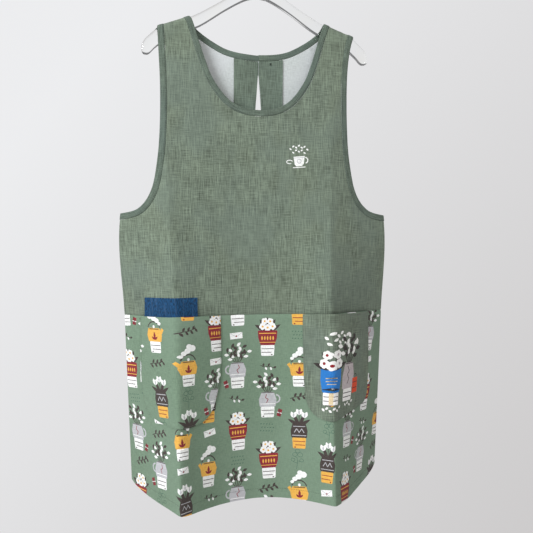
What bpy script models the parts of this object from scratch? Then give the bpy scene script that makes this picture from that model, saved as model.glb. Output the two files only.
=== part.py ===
"""Cobbler apron on a clear hanger.

Metres, +Z up, the apron's front facing -Y. The origin is the seat of the hanger's hook: the
underside of its bend, where it hangs on a rail.
"""
import math

import bmesh
import bpy
from mathutils import Vector

# Cloth, clearances and seams
CLOTH = 0.0010
GAP = 0.0003
LAYER_GAP = 0.0008
BINDING_WIDTH = 0.0105
BINDING_THICKNESS = 0.0024

# Hanger and hook
HOOK_RADIUS = 0.018
HOOK_WIRE = 0.0034
HOOK_STEM = 0.027
HOOK_SINK = 0.014
HOOK_START = -52
HOOK_END = 195
CROWN_RISE = 0.062
HANGER_THICKNESS = 0.011
HANGER_EDGE = 0.0035
BAR_HEIGHT = 0.019
TIP_REACH = 0.027
TIP_DROP = 0.046

# Apron
FRONT_LENGTH = 0.823
NECK_HALF = 0.1185
NECK_DROP = 0.156
BACK_NECK_DROP = 0.057
SHOULDER_HALF = 0.172
SHOULDER_FALL = 0.0195
ARMHOLE_DROP = 0.3145
CHEST_HALF = 0.235
WAIST_DROP = 0.506
HEM_RISE = 0.030
FOLD_DEPTH = 0.090

# Pockets and the denim tab
POCKET_DEPTH = 0.180
POCKET_WIDTH = 0.130
POCKET_INSET = 0.3043 * CHEST_HALF
POCKET_GAPE = 0.011
TAB_WIDTH = 0.083
TAB_STAND = 0.031
TAB_SINK = 0.030
TAB_INSET = 0.040

# Back opening
SLIT_X = 0.003
SLIT_TOP = 0.092
SLIT_LENGTH = 0.230
SLIT_GAPE = 0.013
LAP_WIDTH = 0.036
FACING_WIDTH = 0.043
FACING_BEYOND = 0.030
BUTTON_RADIUS = 0.0055
BUTTON_THICKNESS = 0.0022
BUTTON_INSET = 0.021
BUTTON_RISE = 0.020
LAP_RUN = 0.030
BACK_ARMHOLE_INSET = 0.006

# Places worked out from the sizes above
CROWN_Z = -(2 * HOOK_RADIUS + HOOK_WIRE + HOOK_STEM)
NECK_Z = CROWN_Z - CROWN_RISE
WAIST_Z = NECK_Z - WAIST_DROP
HEM_Z = NECK_Z - FRONT_LENGTH
SHOULDER_Z = NECK_Z - SHOULDER_FALL
UNDERARM_Z = SHOULDER_Z - ARMHOLE_DROP
SEAT = HANGER_THICKNESS / 2 + (BINDING_THICKNESS - CLOTH) / 2 + LAYER_GAP
BINDING_INNER = (CLOTH - BINDING_THICKNESS) / 2
LAP_OUT = BINDING_THICKNESS + LAYER_GAP
ROLL_SHARES = (0.13, 0.5, 1.0)
FRONT = -1
BACK = 1

# How the hung apron stands, row by row from the neck point to the hem.
# drop is a share of FRONT_LENGTH. The folds and sides are half widths, as shares of CHEST_HALF.
# The depths are shares of FOLD_DEPTH, towards the back. open is 1 where the side is an armhole
# that stands off over the hanger, and 0 where front and back are sewn together.
FORM_COLUMNS = ("drop", "left_fold", "right_fold", "left_side", "right_side", "front_mid",
                "front_fold", "side_depth", "back_mid", "back_fold", "open")
FORM = (
    (-0.01, 0.706, 0.562, 0.745, 0.745, 0.00, 0.00, 0.00, 0.00, 0.00, 1.0),
    (0.15, 0.694, 0.553, 0.766, 0.766, -0.06, -0.07, 0.00, 0.02, 0.04, 0.9),
    (0.41, 0.666, 0.528, 0.998, 0.998, -0.11, -0.24, 0.09, 0.11, 0.21, 0.0),
    (0.62, 0.632, 0.500, 0.969, 0.996, -0.23, -0.52, 0.20, 0.28, 0.44, 0.0),
    (1.06, 0.620, 0.485, 0.909, 0.957, -0.23, -1.03, 0.36, 0.46, 0.74, 0.0),
)
FORM_STEPS = 28
COLUMNS = (-2.1, -1.5, -1.0, -0.75, -0.5, -0.25, 0.0, 0.25, 0.5, 0.75, 1.0, 1.5, 2.1)

# Half outlines, from the shoulder seam down. Widths are shares of the half width named in the
# title, and drops are shares of the drop named there.
FRONT_NECK = (  # NECK_HALF, NECK_DROP
    (1.0, 0.0), (0.965, 0.045), (0.912, 0.165), (0.861, 0.29), (0.793, 0.45),
    (0.686, 0.655), (0.523, 0.835), (0.371, 0.933), (0.2, 0.985), (0.0, 1.0),
)
BACK_NECK = (  # NECK_HALF, BACK_NECK_DROP
    (1.0, 0.0), (0.945, 0.20), (0.845, 0.40), (0.684, 0.63), (0.468, 0.86), (0.25, 0.965), (0.0, 1.0),
)
LEFT_ARMHOLE = (  # width from the outer shoulder, a share of the way to CHEST_HALF; ARMHOLE_DROP
    (0.0, 0.0), (0.0, 0.065), (-0.022, 0.16), (-0.048, 0.27), (-0.055, 0.40), (-0.039, 0.53),
    (0.0, 0.655), (0.07, 0.765), (0.155, 0.85), (0.29, 0.915), (0.46, 0.96), (0.65, 0.985), (1.0, 1.0),
)
RIGHT_ARMHOLE = (  # width from the outer shoulder, a share of the way to CHEST_HALF; ARMHOLE_DROP
    (0.0, 0.0), (-0.1, 0.065), (-0.177, 0.16), (-0.215, 0.27), (-0.222, 0.40), (-0.206, 0.53),
    (-0.167, 0.655), (-0.09, 0.765), (0.005, 0.85), (0.16, 0.915), (0.37, 0.96), (0.605, 0.985),
    (1.0, 1.0),
)
FRONT_HEM = (  # half width at the hem, HEM_RISE
    (1.0, 0.0), (0.97, 0.26), (0.91, 0.5), (0.83, 0.7), (0.73, 0.9), (0.61, 1.1), (0.42, 1.07),
    (0.21, 1.02), (0.0, 1.0),
)
BACK_HEM = (  # half width at the hem, HEM_RISE
    (1.0, 0.0), (0.8, 0.22), (0.55, 0.38), (0.3, 0.45), (0.0, 0.47),
)
LEFT_POCKET = (  # POCKET_WIDTH from the inner edge, POCKET_DEPTH
    (0.0, 0.0), (0.0, 0.4), (0.02, 0.6), (0.06, 0.72), (0.11, 0.84), (0.19, 0.93), (0.3, 0.98),
    (0.45, 1.0), (0.62, 0.995), (0.77, 0.968), (0.885, 0.918), (0.95, 0.845), (0.985, 0.72),
    (1.0, 0.5), (1.0, 0.0),
)
RIGHT_POCKET = (  # POCKET_WIDTH from the inner edge, POCKET_DEPTH
    (0.0, 0.0), (0.0, 0.4), (0.01, 0.66), (0.035, 0.82), (0.09, 0.915), (0.17, 0.97), (0.3, 1.0),
    (0.45, 0.99), (0.62, 0.955), (0.78, 0.93), (0.9, 0.9), (0.965, 0.83), (0.99, 0.7),
    (1.0, 0.5), (1.0, 0.0),
)
HANGER_CROWN = (  # NECK_HALF, CROWN_RISE; the crown's upper edge
    (0.0, 0.0), (0.12, 0.05), (0.27, 0.2), (0.5, 0.49), (0.76, 0.79),
)
HANGER_TIP = (  # TIP_REACH, TIP_DROP; from the outer shoulder round the tip to its inner foot
    (0.35, 0.2), (0.75, 0.42), (0.96, 0.63), (1.0, 0.8), (0.93, 0.95), (0.75, 1.0), (0.52, 0.97),
    (0.2, 0.78), (-0.15, 0.6),
)
HANGER_FOOT = (  # NECK_HALF, CROWN_RISE, BAR_HEIGHT; the lower edge from the tip to the centre
    (1.15, 1.0, 1.38), (0.88, 0.95, 1.12), (0.5, 0.5, 1.05), (0.27, 0.24, 1.05), (0.12, 0.1, 1.1),
    (0.0, 0.06, 1.12),
)


def lerp(a, b, t):
    return a + (b - a) * t


def smooth_row(table, t):
    """One row of a table read between its rows along a smooth curve; the first column is t."""
    last = len(table) - 1
    i = next((k for k in range(last) if t <= table[k + 1][0]), last - 1)
    p0, p1, p2, p3 = table[max(i - 1, 0)], table[i], table[i + 1], table[min(i + 2, last)]
    span = p2[0] - p1[0]
    s = (t - p1[0]) / span
    row = [t]
    for c in range(1, len(p1)):
        slope_in = (p2[c] - p0[c]) / (p2[0] - p0[0]) * span
        slope_out = (p3[c] - p1[c]) / (p3[0] - p1[0]) * span
        row.append((2 * s ** 3 - 3 * s ** 2 + 1) * p1[c] + (s ** 3 - 2 * s ** 2 + s) * slope_in
                   + (3 * s ** 2 - 2 * s ** 3) * p2[c] + (s ** 3 - s ** 2) * slope_out)
    return row


def smooth_line(points, steps):
    """Points along a smooth curve through the given points, steps to each stretch."""
    line = []
    last = len(points) - 1
    for i in range(last):
        p0, p1, p2, p3 = points[max(i - 1, 0)], points[i], points[i + 1], points[min(i + 2, last)]
        for k in range(steps):
            t = k / steps
            line.append(tuple(
                0.5 * (2 * b + (c - a) * t + (2 * a - 5 * b + 4 * c - d) * t ** 2
                       + (3 * b - a - 3 * c + d) * t ** 3)
                for a, b, c, d in zip(p0, p1, p2, p3)))
    line.append(tuple(points[last]))
    return line


def form_levels():
    first, last = FORM[0][0], FORM[-1][0]
    return [smooth_row(FORM, lerp(first, last, k / FORM_STEPS)) for k in range(FORM_STEPS + 1)]


LEVELS = form_levels()
LEVEL_Z = [NECK_Z - row[0] * FRONT_LENGTH for row in LEVELS]


def form_at(z):
    """The hung form's measures at a height, straight between the levels that the mesh has."""
    span = LEVEL_Z[0] - LEVEL_Z[-1]
    place = min(max((LEVEL_Z[0] - z) / span * FORM_STEPS, 0.0), FORM_STEPS - 1e-9)
    k = int(place)
    row = [lerp(a, b, place - k) for a, b in zip(LEVELS[k], LEVELS[k + 1])]
    return dict(zip(FORM_COLUMNS, row))


def half_widths(x, z):
    """The fold's and the side seam's distance from the centre, on the side where x lies."""
    form = form_at(z)
    name = "left" if x < 0 else "right"
    return form[name + "_fold"] * CHEST_HALF, form[name + "_side"] * CHEST_HALF


def across(x, z):
    """The place across the apron: 0 at the centre, 1 at a fold, 2 at a side."""
    fold, side = half_widths(x, z)
    wide = abs(x)
    u = wide / fold if wide <= fold else 1 + (wide - fold) / (side - fold)
    return math.copysign(u, x)


def column_depth(form, side, u):
    """The depth of the cloth's inner face on one column of the mesh."""
    name = "front" if side == FRONT else "back"
    mid = side * SEAT + form[name + "_mid"] * FOLD_DEPTH
    fold = side * SEAT + form[name + "_fold"] * FOLD_DEPTH
    if abs(u) <= 1:
        return lerp(mid, fold, u * u)
    seam = form["side_depth"] * FOLD_DEPTH + side * (GAP + SEAT * max(form["open"], 0))
    return lerp(fold, seam, abs(u) - 1)


def shoulder_z(x):
    """The shoulder seam's height, also past its two ends."""
    return NECK_Z - (abs(x) - NECK_HALF) / (SHOULDER_HALF - NECK_HALF) * SHOULDER_FALL


def depth(side, x, z):
    """The depth of the cloth's inner face, rolled over the hanger at the shoulder."""
    form = form_at(z)
    u = across(x, z)
    k = next((i for i in range(len(COLUMNS) - 1) if u <= COLUMNS[i + 1]), len(COLUMNS) - 2)
    u0, u1 = COLUMNS[k], COLUMNS[k + 1]
    flat = lerp(column_depth(form, side, u0), column_depth(form, side, u1), (u - u0) / (u1 - u0))
    below = shoulder_z(x) - z
    if below >= SEAT or below < 0 and z < UNDERARM_Z:
        return flat
    roll = math.sqrt(max(1 - (1 - max(below, 0) / SEAT) ** 2, 0))
    return side * GAP + (flat - side * GAP) * roll


def outward(side, x, z):
    """The direction out of the cloth, longer at a fold so that layers stay parallel."""
    step = 0.002
    here = depth(side, x, z)
    sides = []
    rise = (depth(side, x, z + step) - depth(side, x, z - step)) / (2 * step)
    if shoulder_z(x) - z < SEAT:
        rise = (depth(side, x, z) - depth(side, x, z - step)) / step
    for dx in (-step, step):
        run = (depth(side, x + dx, z) - here) / dx
        sides.append(Vector((-run * side, side, -rise * side)).normalized())
    a, b = sides
    return (a + b) / (1 + a.dot(b))


def on_cloth(side, x, z, out=0.0):
    """A point of the pattern, out metres outside the cloth's inner face."""
    place = Vector((x, depth(side, x, z), z))
    return place + outward(side, x, z) * out if out else place


def material(name, colour, roughness, metallic=0.0, transmission=0.0):
    made = bpy.data.materials.new(name)
    made.use_nodes = True
    shader = made.node_tree.nodes["Principled BSDF"]
    shader.inputs["Base Color"].default_value = (*colour, 1)
    shader.inputs["Roughness"].default_value = roughness
    shader.inputs["Metallic"].default_value = metallic
    shader.inputs["Transmission Weight"].default_value = transmission
    made.diffuse_color = (*colour, 1)
    return made


def new_object(name, mesh, finish, collection):
    made = bpy.data.objects.new(name, mesh)
    made.data.materials.append(finish)
    collection.objects.link(made)
    return made


def solidify(made, thickness):
    """Gives an open surface its thickness, on the side that its faces look to."""
    wall = made.modifiers.new("thickness", "SOLIDIFY")
    wall.thickness = thickness
    wall.offset = 1
    wall.use_even_offset = True


def bisect(bm, place, normal, snap):
    """Cuts the flat cloth along a plane, through the points that lie within snap of it."""
    bmesh.ops.bisect_plane(bm, geom=bm.verts[:] + bm.edges[:] + bm.faces[:], dist=snap,
                           plane_co=place, plane_no=normal)


def cut_along_shoulders(bm):
    """Edges that let the cloth roll over the hanger."""
    fall = Vector((SHOULDER_FALL, 0, SHOULDER_HALF - NECK_HALF)).normalized()
    for share in ROLL_SHARES:
        for sign in (-1, 1):
            place = Vector((sign * NECK_HALF, 0, NECK_Z - share * SEAT))
            bisect(bm, place, Vector((sign * fall.x, 0, fall.z)), 2 * GAP)


def cut_along_form(bm):
    """Edges at the form's levels and columns, made where the columns stand upright."""
    for z in LEVEL_Z[1:-1]:
        bisect(bm, (0, 0, z), (0, 0, 1), GAP)
    for vert in bm.verts:
        vert.co.y = vert.co.x
        vert.co.x = across(vert.co.x, vert.co.z)
    for u in COLUMNS[1:-1]:
        bisect(bm, (u, 0, 0), (1, 0, 0), GAP / CHEST_HALF)


def width_at(u, z):
    fold, side = half_widths(u, z)
    wide = abs(u) * fold if abs(u) <= 1 else lerp(fold, side, abs(u) - 1)
    return math.copysign(wide, u)


def cloth_piece(name, side, outline, out, finish, collection, thickness=CLOTH):
    """A piece of cloth cut to an outline in the XZ plane and laid on the hung form.

    out is its inner face's distance from the form, a number or a function of x and z.
    """
    bm = bmesh.new()
    bm.faces.new([bm.verts.new((x, 0, z)) for x, z in outline])
    cut_along_shoulders(bm)
    cut_along_form(bm)
    bmesh.ops.triangulate(bm, faces=bm.faces[:])
    for vert in bm.verts:
        x, z = width_at(vert.co.x, vert.co.z), vert.co.z
        vert.co = on_cloth(side, x, z, out(x, z) if callable(out) else out)
    bmesh.ops.remove_doubles(bm, verts=bm.verts[:], dist=GAP)
    bmesh.ops.recalc_face_normals(bm, faces=bm.faces[:])
    if sum(face.normal.y * face.calc_area() for face in bm.faces) * side < 0:
        bmesh.ops.reverse_faces(bm, faces=bm.faces[:])
    mesh = bpy.data.meshes.new(name)
    bm.to_mesh(mesh)
    bm.free()
    made = new_object(name, mesh, finish, collection)
    solidify(made, thickness)
    return made


def strip_piece(name, rows, thickness, finish, collection):
    """A strip through rows of points, each row running across it."""
    bm = bmesh.new()
    grid = [[bm.verts.new(point) for point in row] for row in rows]
    for row, after in zip(grid, grid[1:]):
        for k in range(len(row) - 1):
            bm.faces.new((row[k], row[k + 1], after[k + 1], after[k]))
    mesh = bpy.data.meshes.new(name)
    bm.to_mesh(mesh)
    bm.free()
    made = new_object(name, mesh, finish, collection)
    solidify(made, thickness)
    return made


def below_shoulder(point):
    return shoulder_z(point[0]) - point[1]


def roll_stations(line):
    """The line, which starts on the shoulder seam, with the points that let it roll over it."""
    line = list(line)
    for share in ROLL_SHARES:
        drop = share * SEAT
        k = next(i for i in range(1, len(line)) if below_shoulder(line[i]) > drop)
        a, b = line[k - 1], line[k]
        t = (drop - below_shoulder(a)) / (below_shoulder(b) - below_shoulder(a))
        if t > 0.02:
            line.insert(k, (lerp(a[0], b[0], t), lerp(a[1], b[1], t)))
    return line


def band(line, width):
    """The other edge of a band along a half line.

    It runs beside the line, along the shoulder seam at its first point. A positive width lies
    away from the centre.
    """
    fall = Vector((SHOULDER_HALF - NECK_HALF, -SHOULDER_FALL)).normalized()
    edge = []
    for k, (x, z) in enumerate(line):
        before = line[max(k - 1, 0)]
        after = line[min(k + 1, len(line) - 1)]
        run = Vector((after[0] - before[0], after[1] - before[1])).normalized()
        share = min(below_shoulder((x, z)) / (3 * SEAT), 1)
        way = fall.lerp(Vector((-run.y, run.x)), share * share).normalized()
        edge.append((x + way.x * width, z + way.y * width))
    return edge


def mirrored(line):
    return [(-x, z) for x, z in reversed(line)]


def whole(left, right):
    """Two half lines that run to the centre, as one line from -X to +X."""
    return [(-x, z) for x, z in left] + right[::-1][1:]


def half_outline(table, half, drop, top):
    """A half outline's smooth line from a table of shares."""
    return smooth_line([(w * half, top - d * drop) for w, d in table], 2)


def side_width(sign, z):
    return abs(width_at(2 * sign, z))


def side_line(sign, top, bottom):
    """A side seam's half line between two heights, with a point at each level of the form."""
    heights = [top] + [z for z in LEVEL_Z if bottom + CLOTH < z < top - CLOTH] + [bottom]
    return [(side_width(sign, z), z) for z in heights]


def neck_lines(table, drop):
    """The neck edge from the shoulder down to the centre, and its binding's two edges."""
    lines = [roll_stations(half_outline(table, NECK_HALF, drop, NECK_Z))]
    for width in (BINDING_WIDTH, BINDING_WIDTH + GAP):
        line = band(lines[0], width)
        line[-1] = (0, lines[0][-1][1] - width)
        lines.append(line)
    return lines


def armhole_lines(sign, inset):
    """An armhole's edge down to the underarm, and its binding's two edges."""
    reach = CHEST_HALF - SHOULDER_HALF
    points = []
    for w, d in LEFT_ARMHOLE if sign < 0 else RIGHT_ARMHOLE:
        points.append((SHOULDER_HALF + w * reach - inset * math.sin(math.pi * d),
                       SHOULDER_Z - d * ARMHOLE_DROP))
    points[-1] = (side_width(sign, UNDERARM_Z), UNDERARM_Z)
    edge = roll_stations(smooth_line(points, 3))
    lines = [edge]
    for width in (BINDING_WIDTH, BINDING_WIDTH + GAP):
        line = band(edge, -width)
        line[-1] = (side_width(sign, UNDERARM_Z - width), UNDERARM_Z - width)
        lines.append(line)
    return lines


def hem_line(sign, table):
    """The hem's half line from the side seam to the centre."""
    half = side_width(sign, HEM_Z + HEM_RISE)
    return smooth_line([(w * half, HEM_Z + HEM_RISE * (1 - d)) for w, d in table], 2)


def slit_edges(z):
    """The slit's two edges at a height; below it they are the centre seam's."""
    t = (NECK_Z - SLIT_TOP - z) / SLIT_LENGTH
    gape = SLIT_GAPE * math.sin(math.pi * t) if 0 < t < 1 else 0
    return SLIT_X - (gape + GAP) / 2, SLIT_X + (gape + GAP) / 2


def centre_line(top, bottom, edge):
    """One edge of the slit and the centre seam, from top to bottom."""
    heights = [top] + [z for z in LEVEL_Z if bottom + CLOTH < z < top - CLOTH] + [bottom]
    fine = [NECK_Z - SLIT_TOP - SLIT_LENGTH * k / 10 for k in range(11)]
    heights = sorted(set(heights) | {z for z in fine if bottom < z < top}, reverse=True)
    return [(slit_edges(z)[edge], z) for z in heights]


def lap(x, z):
    """How far the overlapping half of the back stands off the other half at the slit's top."""
    start = SLIT_X - LAP_RUN
    t = min(max((x - start) / (LAP_RUN - LAYER_GAP), 0), 1)
    down = min(max((NECK_Z - SLIT_TOP - z) / LAP_RUN, 0), 1)
    return LAP_OUT * t * t * (3 - 2 * t) * (1 - down)


def height_on(line, x):
    """The height of a line at a width, where it runs across the apron."""
    for a, b in zip(line, line[1:]):
        low, high = sorted((a[0], b[0]))
        if low <= x <= high and high > low:
            return lerp(a[1], b[1], (x - a[0]) / (b[0] - a[0]))
    return line[-1][1]


def between(line, low, high):
    """The part of a line between two widths, with its end points made."""
    kept = [p for p in line if low < p[0] < high]
    ends = [(x, height_on(line, x)) for x in (low, high) if line[0][0] < x < line[-1][0]]
    return sorted(kept + ends)


def build_front(cloth, print_cloth, collection):
    _, _, seam = neck_lines(FRONT_NECK, NECK_DROP)
    halves = []
    for sign in (-1, 1):
        arm = armhole_lines(sign, 0)[2]
        halves.append(seam[::-1] + arm + side_line(sign, arm[-1][1], WAIST_Z + GAP / 2)[1:])
    left, right = halves
    cloth_piece("front_bodice", FRONT, right + mirrored(left)[:-1], 0, cloth, collection)

    left, right = (side_line(sign, WAIST_Z - GAP / 2, HEM_Z + HEM_RISE)
                   + hem_line(sign, FRONT_HEM)[1:] for sign in (-1, 1))
    cloth_piece("front_skirt", FRONT, right + mirrored(left)[1:], 0, print_cloth, collection)


def build_back(cloth, print_cloth, collection):
    _, _, seam = neck_lines(BACK_NECK, BACK_NECK_DROP)
    neck = whole(seam, seam)
    outers = []
    for sign in (-1, 1):
        arm = armhole_lines(sign, BACK_ARMHOLE_INSET)[2]
        outers.append(arm + side_line(sign, arm[-1][1], HEM_Z + HEM_RISE)[1:])
    left_outer, right_outer = outers
    hem = whole(hem_line(-1, BACK_HEM), hem_line(1, BACK_HEM))
    hem_mid = HEM_Z + HEM_RISE * (1 - BACK_HEM[-1][1])

    left_edge, right_edge = slit_edges(hem_mid)
    right_top = height_on(neck, SLIT_X + GAP)
    outline = between(neck, right_edge, seam[0][0] + GAP) + right_outer
    outline += between(hem, right_edge, right_outer[-1][0])[::-1]
    outline += centre_line(right_top, hem_mid, 1)[1:-1][::-1]
    cloth_piece("back_right", BACK, outline, 0, print_cloth, collection)

    lap_end = SLIT_X + LAP_WIDTH
    lap_foot = NECK_Z - SLIT_TOP + GAP
    outline = mirrored(left_outer) + between(neck, -seam[0][0] - GAP, lap_end)
    outline += [(lap_end, lap_foot), (SLIT_X + LAP_WIDTH / 2, lap_foot), (SLIT_X, lap_foot)]
    outline += [p for p in centre_line(lap_foot, hem_mid, 0)[1:-1]]
    outline += between(hem, -left_outer[-1][0], left_edge)[::-1]
    cloth_piece("back_left", BACK, outline[:-1], lap, print_cloth, collection)

    foot = NECK_Z - SLIT_TOP - SLIT_LENGTH - FACING_BEYOND
    for name, edge, sign in (("facing_left", 0, -1), ("facing_right", 1, 1)):
        inner = slit_edges(NECK_Z - SLIT_TOP)[edge] + sign * GAP
        outer_x = inner + sign * FACING_WIDTH
        low, high = sorted((inner, outer_x))
        top = between(neck, low, high)
        top = [(x, z - GAP) for x, z in (top if sign < 0 else top[::-1])]
        slit = [(x + sign * GAP, z) for x, z in centre_line(top[-1][1], foot, edge)]
        outline = top + slit[1:] + [(outer_x, foot)]
        lapped = sign < 0
        cloth_piece(name, BACK, outline,
                    lambda x, z: (lap(x, z) if lapped else 0) - CLOTH - LAYER_GAP, cloth,
                    collection)


def band_rows(side, edge, seam, lapped=False):
    """Rows of points across a binding, fading to the cloth's inner face at the side seam."""
    rows = []
    for a, b in zip(edge, seam):
        room = min(max((half_widths(*a)[1] - abs(a[0])) / BINDING_WIDTH, 0), 1)
        if a[1] > UNDERARM_Z + 4 * BINDING_WIDTH:
            room = 1
        if abs(below_shoulder(a)) < 1e-6:
            rows.append([Vector((p[0], 0, shoulder_z(p[0]) + BINDING_INNER)) for p in (a, b)])
            continue
        row = []
        for t in (0, 0.5, 1):
            x, z = lerp(a[0], b[0], t), lerp(a[1], b[1], t)
            out = BINDING_INNER * room + (lap(x, z) if lapped else 0)
            row.append(on_cloth(side, x, z, out))
        rows.append(row)
    for row in rows:
        if len(row) == 2:
            row.insert(1, (row[0] + row[1]) / 2)
    return rows


def build_bindings(cloth, collection):
    edge, seam, _ = neck_lines(FRONT_NECK, NECK_DROP)
    front = band_rows(FRONT, edge, seam)
    front_left = band_rows(FRONT, [(-x, z) for x, z in edge], [(-x, z) for x, z in seam])
    edge, seam, _ = neck_lines(BACK_NECK, BACK_NECK_DROP)
    pairs = list(zip(edge, seam))
    across_back = [((-a[0], a[1]), (-b[0], b[1])) for a, b in pairs] + pairs[::-1][1:]
    ends = SLIT_X + GAP, SLIT_X + LAP_WIDTH

    def stretch(low, high):
        """The back neck's pairs between two widths, both ends made."""
        kept = []
        for (a, b), (c, d) in zip(across_back, across_back[1:]):
            if low <= a[0] <= high:
                kept.append((a, b))
            for x in (low, high):
                if a[0] < x < c[0]:
                    t = (x - a[0]) / (c[0] - a[0])
                    kept.append(tuple((lerp(p[0], q[0], t), lerp(p[1], q[1], t))
                                      for p, q in ((a, c), (b, d))))
        if across_back[-1][0][0] <= high:
            kept.append(across_back[-1])
        return kept

    right = stretch(ends[0], NECK_HALF)
    left = stretch(-NECK_HALF, ends[1])
    right_rows = band_rows(BACK, [a for a, _ in right], [b for _, b in right])
    left_rows = band_rows(BACK, [a for a, _ in left], [b for _, b in left], True)
    rows = left_rows[::-1] + front_left[1:] + front[::-1][1:] + right_rows[::-1][1:]
    strip_piece("neck_binding", rows, BINDING_THICKNESS, cloth, collection)

    for name, sign in (("armhole_binding_left", -1), ("armhole_binding_right", 1)):
        halves = []
        for side, inset in ((FRONT, 0), (BACK, BACK_ARMHOLE_INSET)):
            edge, seam, _ = armhole_lines(sign, inset)
            halves.append(band_rows(side, [(sign * x, z) for x, z in edge],
                                    [(sign * x, z) for x, z in seam]))
        front, back = halves if sign > 0 else halves[::-1]
        strip_piece(name, back[::-1] + front[1:], BINDING_THICKNESS, cloth, collection)


def build_pockets(cloth, print_cloth, denim, collection):
    def gape(x, z):
        """How far a pocket's mouth stands off the skirt."""
        u = min(max((abs(x) - POCKET_INSET) / POCKET_WIDTH, 0), 1)
        v = min(max((WAIST_Z - z) / POCKET_DEPTH, 0), 1)
        swell = math.sin(math.pi * u) ** 0.7 * (1 - v) ** 1.3
        return CLOTH + LAYER_GAP + POCKET_GAPE * swell

    for name, table, sign, finish in (("left_pocket", LEFT_POCKET, -1, print_cloth),
                                      ("right_pocket", RIGHT_POCKET, 1, cloth)):
        outline = [(sign * (POCKET_INSET + w * POCKET_WIDTH), WAIST_Z - GAP - d * POCKET_DEPTH)
                   for w, d in table]
        cloth_piece(name, FRONT, outline, gape, finish, collection)

    right = -(POCKET_INSET + TAB_INSET)
    left = right - TAB_WIDTH
    top, foot = WAIST_Z + TAB_STAND, WAIST_Z - TAB_SINK
    outline = [(left, top), (right, top), (right, foot), (left, foot)]
    cloth_piece("denim_tab", FRONT, outline, CLOTH + LAYER_GAP, denim, collection)


def build_button(finish, collection):
    x, z = SLIT_X + BUTTON_INSET, NECK_Z - SLIT_TOP + BUTTON_RISE
    out = LAP_OUT + CLOTH + LAYER_GAP + BUTTON_THICKNESS / 2
    bm = bmesh.new()
    bmesh.ops.create_cone(bm, cap_ends=True, segments=24, radius1=BUTTON_RADIUS,
                          radius2=BUTTON_RADIUS, depth=BUTTON_THICKNESS)
    mesh = bpy.data.meshes.new("back_button")
    bm.to_mesh(mesh)
    bm.free()
    button = new_object("back_button", mesh, finish, collection)
    button.location = on_cloth(BACK, x, z, out)
    button.rotation_euler = outward(BACK, x, z).to_track_quat("Z", "Y").to_euler()
    rim = button.modifiers.new("rim", "BEVEL")
    rim.width = BUTTON_THICKNESS / 4
    rim.segments = 2


def hanger_outline():
    """The right half of the hanger's outline, from the crown's top round the tip to its foot."""
    seat = BINDING_THICKNESS / 2 + LAYER_GAP
    upper = [(w * NECK_HALF, CROWN_Z - d * CROWN_RISE) for w, d in HANGER_CROWN]
    upper += [(lerp(NECK_HALF, SHOULDER_HALF, t),
               shoulder_z(lerp(NECK_HALF, SHOULDER_HALF, t)) - seat) for t in (0, 0.5, 1)]
    tip = [(SHOULDER_HALF + w * TIP_REACH, SHOULDER_Z - seat - d * TIP_DROP) for w, d in HANGER_TIP]
    lower = [(w * NECK_HALF, CROWN_Z - d * CROWN_RISE - BAR_HEIGHT * h)
             for w, d, h in HANGER_FOOT]
    return smooth_line(upper, 2)[:-1] + smooth_line([upper[-1]] + tip, 2)[:-1] + smooth_line(
        [tip[-1]] + lower, 2)


def curve_object(name, points, collection, closed=False):
    curve = bpy.data.curves.new(name, "CURVE")
    curve.dimensions = "2D" if closed else "3D"
    spline = curve.splines.new("POLY")
    spline.points.add(len(points) - 1)
    for point, place in zip(spline.points, points):
        point.co = (*place, 1)
    spline.use_cyclic_u = closed
    made = bpy.data.objects.new(name, curve)
    collection.objects.link(made)
    return made


def mesh_from(curve_made, name, finish, collection):
    """The curve's evaluated shape as one closed mesh object."""
    bpy.context.view_layer.update()
    shape = curve_made.evaluated_get(bpy.context.evaluated_depsgraph_get())
    mesh = bpy.data.meshes.new_from_object(shape)
    bm = bmesh.new()
    bm.from_mesh(mesh)
    bmesh.ops.remove_doubles(bm, verts=bm.verts[:], dist=1e-5)
    bm.to_mesh(mesh)
    bm.free()
    mesh.materials.clear()
    made = new_object(name, mesh, finish, collection)
    made.matrix_world = curve_made.matrix_world
    bpy.data.objects.remove(curve_made)
    return made


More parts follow.
